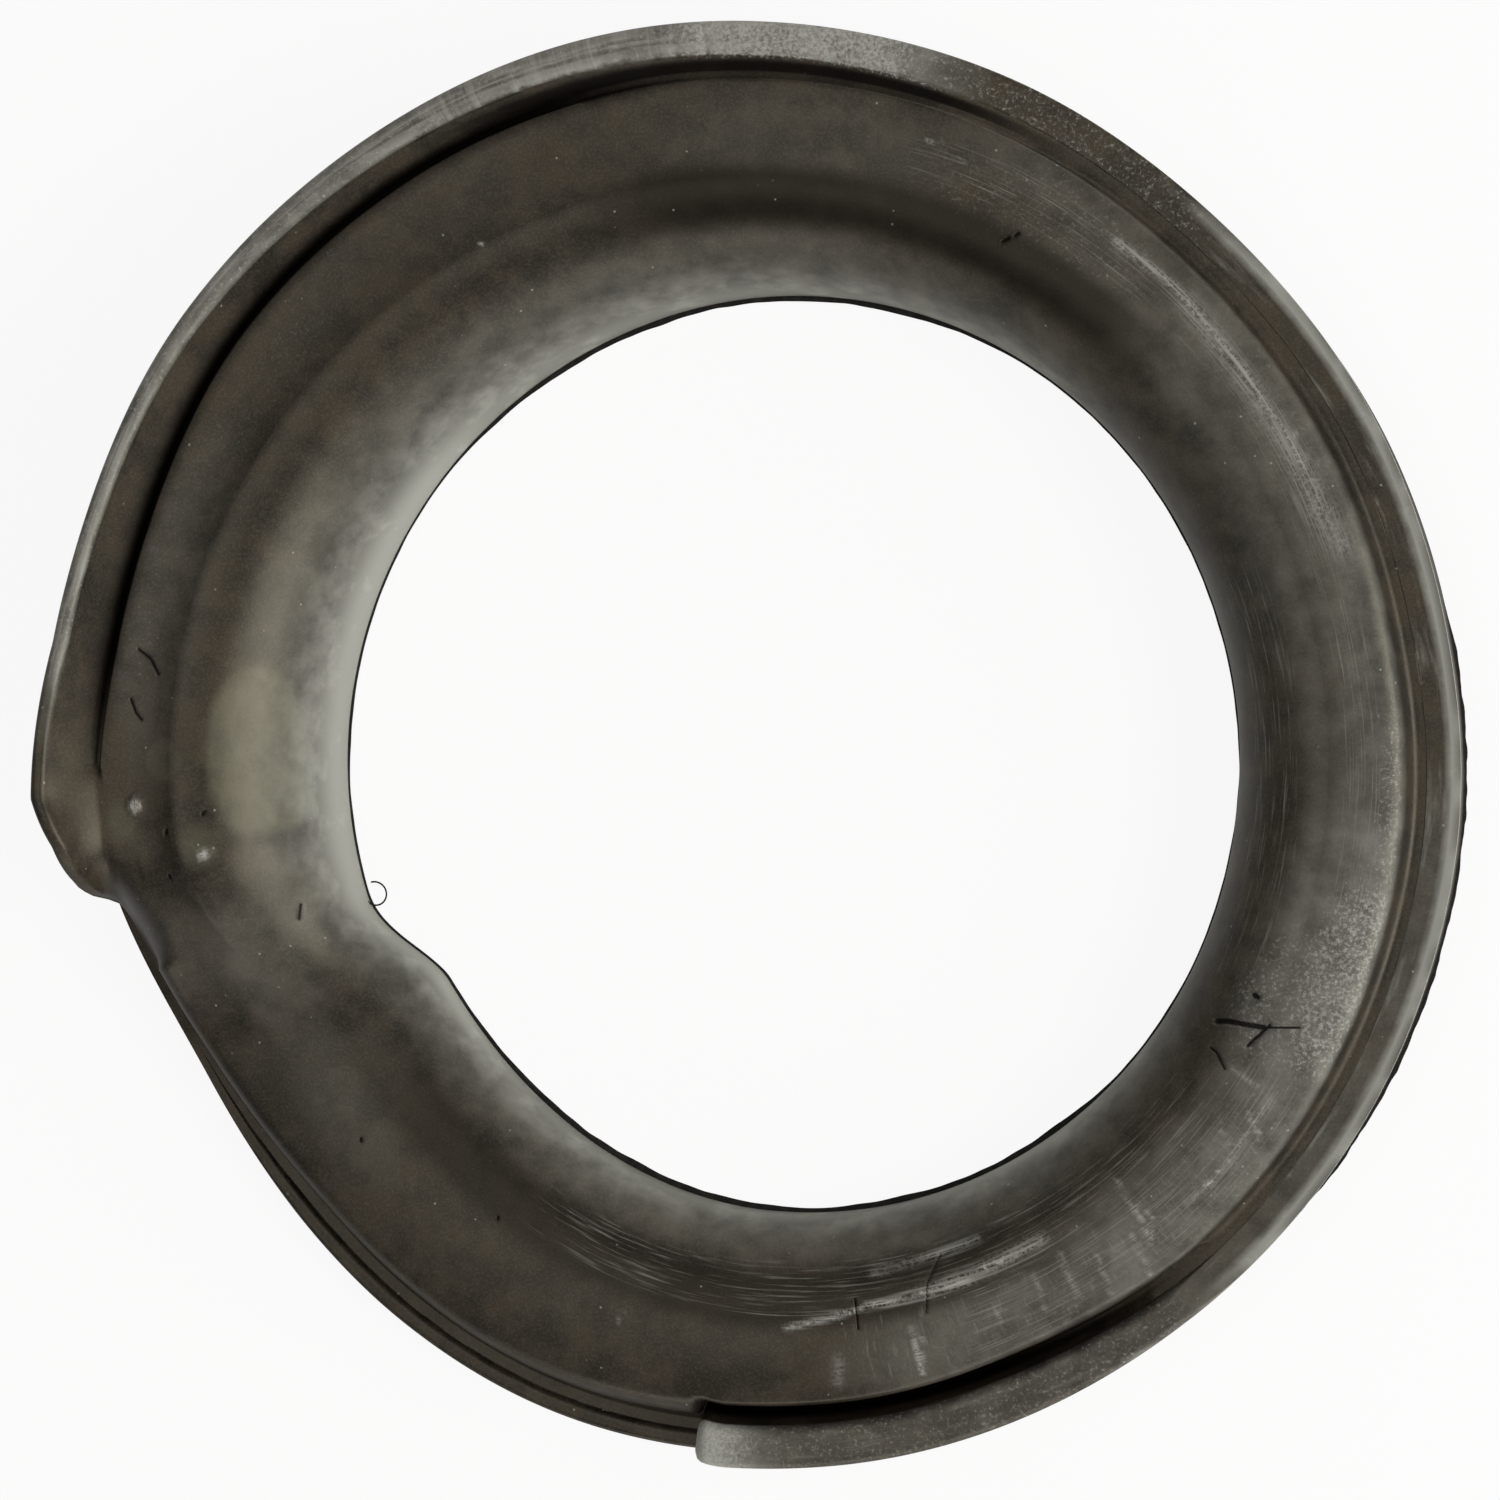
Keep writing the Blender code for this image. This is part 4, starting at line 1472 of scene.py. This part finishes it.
    def draw_dust(self, tree: bpy.types.NodeTree) -> Socket:
        """Draw sparse small specks of dust.

        Args:
            tree: Node tree of the material.

        Returns:
            The output socket of the mask.
        """
        place = add_node(tree, "TexCoord")
        cells = add_node(tree, "TexVoronoi", {"Scale": MM_PER_METRE / self.dust_cell_mm},
                         {"Vector": place.outputs["Object"]})
        settings = {"interpolation_type": "SMOOTHSTEP", "From Min": 0.11, "From Max": 0.05,
                    "To Max": self.dust_strength}
        speck = add_node(tree, "MapRange", settings, {"Value": cells.outputs["Distance"]})
        drawn = add_node(tree, "SeparateColor", None, {0: cells.outputs["Color"]})
        settings = {"interpolation_type": "SMOOTHSTEP", "From Min": 0.82, "From Max": 0.90}
        chosen = add_node(tree, "MapRange", settings, {"Value": drawn.outputs[0]})
        mask = add_node(tree, "Math", {"operation": "MULTIPLY"},
                        {0: speck.outputs["Result"], 1: chosen.outputs["Result"]})
        return mask.outputs[0]

    def draw_painted_shade(self, tree: bpy.types.NodeTree) -> Socket:
        """Draw the black painted shade in the cuts, the slit, the groove and the creases.

        Args:
            tree: Node tree of the material.

        Returns:
            The output socket of the mask.
        """
        cut = add_node(tree, "Attribute", {"attribute_name": "cut"})
        painted_shade = add_node(tree, "Attribute", {"attribute_name": "painted_shade"})
        settings = {"interpolation_type": "SMOOTHSTEP", "From Min": 0.25, "From Max": 0.80,
                    "To Max": self.cut_strength}
        opened = add_node(tree, "MapRange", settings, {"Value": cut.outputs["Fac"]})
        mask = add_node(tree, "Math", {"operation": "MAXIMUM"},
                        {0: opened.outputs["Result"], 1: painted_shade.outputs["Fac"]})
        return mask.outputs[0]

    def colour_rubber(self, tree: bpy.types.NodeTree, shader: bpy.types.Node, patterns: dict[str, Socket],
                      masks: dict[str, Socket]) -> None:
        """Colour the rubber, and lay each coat over it in turn.

        Args:
            tree: Node tree of the material.
            shader: Principled shader that takes the colour.
            patterns: Output socket of each pattern.
            masks: Output socket of each coat's mask.
        """
        uneven = add_node(tree, "Math", {"operation": "ADD"}, {0: patterns["mottle"], 1: patterns["cloud"]})
        settings = {"interpolation_type": "SMOOTHSTEP", "From Min": 0.80, "From Max": 1.20}
        tone = add_node(tree, "MapRange", settings, {"Value": uneven.outputs[0]})
        settings = {"data_type": "RGBA", 6: linear(self.deep), 7: linear(self.brown)}
        colour = add_node(tree, "Mix", settings, {0: tone.outputs["Result"]}).outputs[2]
        # The pale film coat also lays painted highlights, and the two darkest coats lay painted shade.
        coats = (("grain", self.bloom), ("stain", self.stain), ("film_and_highlight", self.film_and_highlight), ("frost", self.bloom),
                 ("painted_shade_band", self.painted_shade_tone), ("streak", self.streaked), ("scuff", self.streaked),
                 ("rub", self.rubbed), ("dust", self.bloom), ("black", self.black))
        for mask, coat in coats:
            settings = {"data_type": "RGBA", 7: linear(coat)}
            colour = add_node(tree, "Mix", settings, {0: masks[mask], 6: colour}).outputs[2]
        tree.links.new(colour, shader.inputs["Base Color"])

    def set_gloss(self, tree: bpy.types.NodeTree, shader: bpy.types.Node, patterns: dict[str, Socket],
                  masks: dict[str, Socket]) -> None:
        """Make bare rubber satin, bloom and black painted shade dull, and all painted shade shine less.

        Args:
            tree: Node tree of the material.
            shader: Principled shader that takes the roughness and the specular level.
            patterns: Output socket of each pattern.
            masks: Output socket of each coat's mask.
        """
        settings = {"From Min": 0.35, "From Max": 0.65, "To Min": 0.36, "To Max": 0.48}
        satin = add_node(tree, "MapRange", settings, {"Value": patterns["mottle"]})
        bloomed = add_node(tree, "Math", {"operation": "MAXIMUM"}, {0: masks["frost"], 1: masks["film_and_highlight"]})
        dull = add_node(tree, "Math", {"operation": "MAXIMUM"}, {0: bloomed.outputs[0], 1: masks["black"]})
        rough = add_node(tree, "Math", {"operation": "MULTIPLY_ADD", 1: 0.30, "use_clamp": True},
                         {0: dull.outputs[0], 2: satin.outputs["Result"]})
        tree.links.new(rough.outputs[0], shader.inputs["Roughness"])
        # The painted shade band lowers the shine at a little over half strength.
        scaled = add_node(tree, "Math", {"operation": "MULTIPLY", 1: 0.55}, {0: masks["painted_shade_band"]})
        dark = add_node(tree, "Math", {"operation": "MAXIMUM"}, {0: masks["black"], 1: scaled.outputs[0]})
        gloss = add_node(tree, "MapRange", {"To Min": 0.5, "To Max": 0.05}, {"Value": dark.outputs[0]})
        tree.links.new(gloss.outputs["Result"], shader.inputs["Specular IOR Level"])

    def raise_relief(self, tree: bpy.types.NodeTree, shader: bpy.types.Node, patterns: dict[str, Socket],
                     masks: dict[str, Socket]) -> None:
        """Raise the tool's grain, the rubber's low lumps and the crust of the bloom.

        Args:
            tree: Node tree of the material.
            shader: Principled shader that takes the normal.
            patterns: Output socket of each pattern.
            masks: Output socket of each coat's mask.
        """
        grain = add_node(tree, "Bump", {"Strength": 0.3, "Distance": 0.00003}, {"Height": patterns["grain"]})
        lumps = add_node(tree, "Bump", {"Strength": 0.35, "Distance": 0.00008},
                         {"Height": patterns["cloud"], "Normal": grain.outputs["Normal"]})
        crust = add_node(tree, "Bump", {"Strength": 0.5, "Distance": 0.00005},
                         {"Height": masks["frost"], "Normal": lumps.outputs["Normal"]})
        tree.links.new(crust.outputs["Normal"], shader.inputs["Normal"])


@dataclass(frozen=True)
class ShadedFlashRubber:
    """The same filled rubber as thin flash, torn off at the mould's joint.

    It is coloured nearly black, as painted shade for the thin flash in shadow, and it is dull, because
    its torn faces are rough and hardly any of them looks up.
    """

    name: str = "shaded_torn_rubber_flash"
    ior: float = 1.52
    roughness: float = 0.75
    shine: float = 0.25
    colour: str = "100e0c"
    pale: str = "2c2925"
    tear_mm: float = 1.2

    def make(self) -> bpy.types.Material:
        """Build the node material.

        Returns:
            The material.
        """
        material, tree, shader = start_material(self.name)
        shader.inputs["IOR"].default_value = self.ior
        shader.inputs["Roughness"].default_value = self.roughness
        shader.inputs["Specular IOR Level"].default_value = self.shine
        place = add_node(tree, "TexCoord")
        tears = add_node(tree, "TexNoise", {"Scale": MM_PER_METRE / self.tear_mm, "Detail": 3.0},
                         {"Vector": place.outputs["Object"]})
        ramp = add_node(tree, "ValToRGB", None, {"Fac": tears.outputs["Fac"]})
        ramp.color_ramp.elements[0].position = 0.45
        ramp.color_ramp.elements[0].color = linear(self.colour)
        ramp.color_ramp.elements[1].position = 0.85
        ramp.color_ramp.elements[1].color = linear(self.pale)
        tree.links.new(ramp.outputs["Color"], shader.inputs["Base Color"])
        bump = add_node(tree, "Bump", {"Strength": 0.5, "Distance": 0.0001}, {"Height": tears.outputs["Fac"]})
        tree.links.new(bump.outputs["Normal"], shader.inputs["Normal"])
        return material


@dataclass(frozen=True)
class WhiteTableTop:
    """Matt white laminate. It stays white in the picture and still takes the ring's soft shadow."""

    name: str = "white_table_top"
    colour: str = "f0efec"
    roughness: float = 0.6
    glow_share: float = 0.90
    glow_in_gloss: float = 0.40

    def make(self) -> bpy.types.Material:
        """Build the node material.

        Returns:
            The material.
        """
        material, tree, shader = start_material(self.name)
        shader.inputs["Base Color"].default_value = linear(self.colour)
        shader.inputs["Roughness"].default_value = self.roughness
        path = add_node(tree, "LightPath")
        seen = add_node(tree, "Math", {"operation": "MAXIMUM"},
                        {0: path.outputs["Is Camera Ray"], 1: path.outputs["Is Glossy Ray"]})
        share = add_node(tree, "Math", {"operation": "MULTIPLY", 1: self.glow_share}, {0: seen.outputs[0]})
        glow = add_node(tree, "MapRange", {"To Min": self.glow_in_gloss, "To Max": 1.0},
                        {"Value": path.outputs["Is Camera Ray"]})
        white = add_node(tree, "Emission", {"Color": linear(WHITE)}, {"Strength": glow.outputs["Result"]})
        mixed = add_node(tree, "MixShader", None,
                         {0: share.outputs[0], 1: shader.outputs[0], 2: white.outputs[0]})
        tree.links.new(mixed.outputs[0], tree.nodes["Material Output"].inputs["Surface"])
        return material


@dataclass(frozen=True)
class Panel:
    """A soft rectangular light: its middle, its edges and its power."""

    name: str
    middle: tuple[float, float, float]
    width: float
    height: float
    watts: float


@dataclass
class Studio:
    """A white table, soft light from above and from the right, and the photograph's viewing angle."""

    axis: Point
    tilt: float = 12.1
    camera_distance: float = 0.419
    pixels_per_metre: float = 8957.0
    image_width: float = 1500.0
    axis_pixel: Point = (793.6, 753.9)
    sensor: float = 36.0
    floor_half: float = 3.0
    floor_drop: float = 0.00005
    clip_start: float = 0.01
    panels: Sequence[Panel] = (
        Panel("overhead_panel", (-0.32, 0.0, 1.50), 0.90, 0.90, 3.4),
        Panel("right_panel", (0.90, -0.14, 0.46), 0.90, 0.80, 10.5),
        Panel("front_panel", (0.10, -1.00, 0.24), 1.40, 0.38, 3.4),
        Panel("back_panel", (0.00, 1.00, 0.24), 1.40, 0.38, 2.8),
    )
    room_strength: float = 0.20

    def set_up(self) -> None:
        """Make the floor, the lights, the world and the camera."""
        self.floor()
        self.lights()
        self.world()
        self.camera()
        bpy.context.scene.view_settings.view_transform = "Standard"

    def floor(self) -> None:
        """Lay the white table just under the ring."""
        mesh = bmesh.new()
        bmesh.ops.create_grid(mesh, x_segments=1, y_segments=1, size=self.floor_half)
        bmesh.ops.translate(mesh, verts=mesh.verts, vec=(0.0, 0.0, -self.floor_drop))
        table = finished_piece("white_table", mesh)
        table.data.materials.append(WhiteTableTop().make())

    def lights(self) -> None:
        """Hang the soft panels, each turned to the ring."""
        for panel in self.panels:
            lamp = bpy.data.lights.new(panel.name, "AREA")
            lamp.shape = "RECTANGLE"
            lamp.size = panel.width
            lamp.size_y = panel.height
            lamp.energy = panel.watts
            holder = bpy.data.objects.new(panel.name, lamp)
            holder.location = panel.middle
            holder.rotation_euler = (-Vector(panel.middle)).to_track_quat("-Z", "Y").to_euler()
            bpy.context.scene.collection.objects.link(holder)

    def world(self) -> None:
        """Give the room a plain dim light, and white where the camera looks past the table."""
        world = bpy.data.worlds.new("plain_room")
        bpy.context.scene.world = world
        world.use_nodes = True
        tree = world.node_tree
        background = tree.nodes["Background"]
        background.inputs["Color"].default_value = linear(WHITE)
        path = add_node(tree, "LightPath")
        strength = add_node(tree, "MapRange", {"To Min": self.room_strength, "To Max": 1.0},
                            {"Value": path.outputs["Is Camera Ray"]})
        tree.links.new(strength.outputs["Result"], background.inputs["Strength"])

    def camera(self) -> None:
        """Set the camera over the table, tilted towards +X, with the photograph's framing."""
        data = bpy.data.cameras.new("photo_camera")
        data.sensor_width = self.sensor
        data.lens = self.sensor * self.pixels_per_metre * self.camera_distance / self.image_width
        data.clip_start = self.clip_start
        tilt = radians(self.tilt)
        back = Vector((sin(tilt), 0.0, cos(tilt)))
        up = Vector((0.0, 1.0, 0.0))
        right = up.cross(back)
        middle = self.image_width / 2.0
        aside = (middle - self.axis_pixel[0]) / self.pixels_per_metre
        above = (self.axis_pixel[1] - middle) / self.pixels_per_metre
        aim = Vector((self.axis[0], self.axis[1], 0.0)) + right * aside + up * above
        turned = Matrix((right, up, back)).transposed().to_4x4()
        holder = bpy.data.objects.new("photo_camera", data)
        holder.matrix_world = Matrix.Translation(aim + back * self.camera_distance) @ turned
        bpy.context.scene.collection.objects.link(holder)
        bpy.context.scene.camera = holder


def dress(piece: bpy.types.Object, material: bpy.types.Material) -> None:
    """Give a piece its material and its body.

    Args:
        piece: Object to dress.
        material: Material to give it.
    """
    piece.data.materials.append(material)
    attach(piece, BODY)
    log.info("built %s with %d faces", piece.name, len(piece.data.polygons))


def main() -> None:
    """Build the ring, its flash and the studio."""
    logging.basicConfig(level=logging.INFO, format="%(name)s: %(message)s")
    laws = RingLaws()
    shaded_flash_rubber = ShadedFlashRubber().make()

    ring = MouldedRing(RingSection(laws), WearAndPaintedLightMap(laws)).build()
    dress(ring, AgedRubber().make())
    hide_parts(NODE)

    bore_tears = TornEdge(seed=2.0, least=0.00036, most=0.00085, wave_degrees=12.0, held_back=0.45,
                          full_turns=(Reach(210.0, 226.0, 276.0, 292.0), Reach(8.0, 24.0, 96.0, 112.0)))
    bore_flash = MouldFlash("bore_flash", laws.bore_radius, bore_tears, laws, outward=False)
    dress(bore_flash.build(), shaded_flash_rubber)

    lip_tears = TornEdge(seed=5.0, least=0.00020, most=laws.base_proud, wave_degrees=4.0, held_back=0.25,
                         full_turns=(Reach(108.0, 114.0, 160.0, 166.0),))
    outer_flash = MouldFlash("outer_flash", laws.wall_radius, lip_tears, laws, outward=True)
    dress(outer_flash.build(), shaded_flash_rubber)
    dress(FlashHair(laws).build(), shaded_flash_rubber)

    Studio(laws.axis).set_up()


if __name__ == "__main__":
    main()
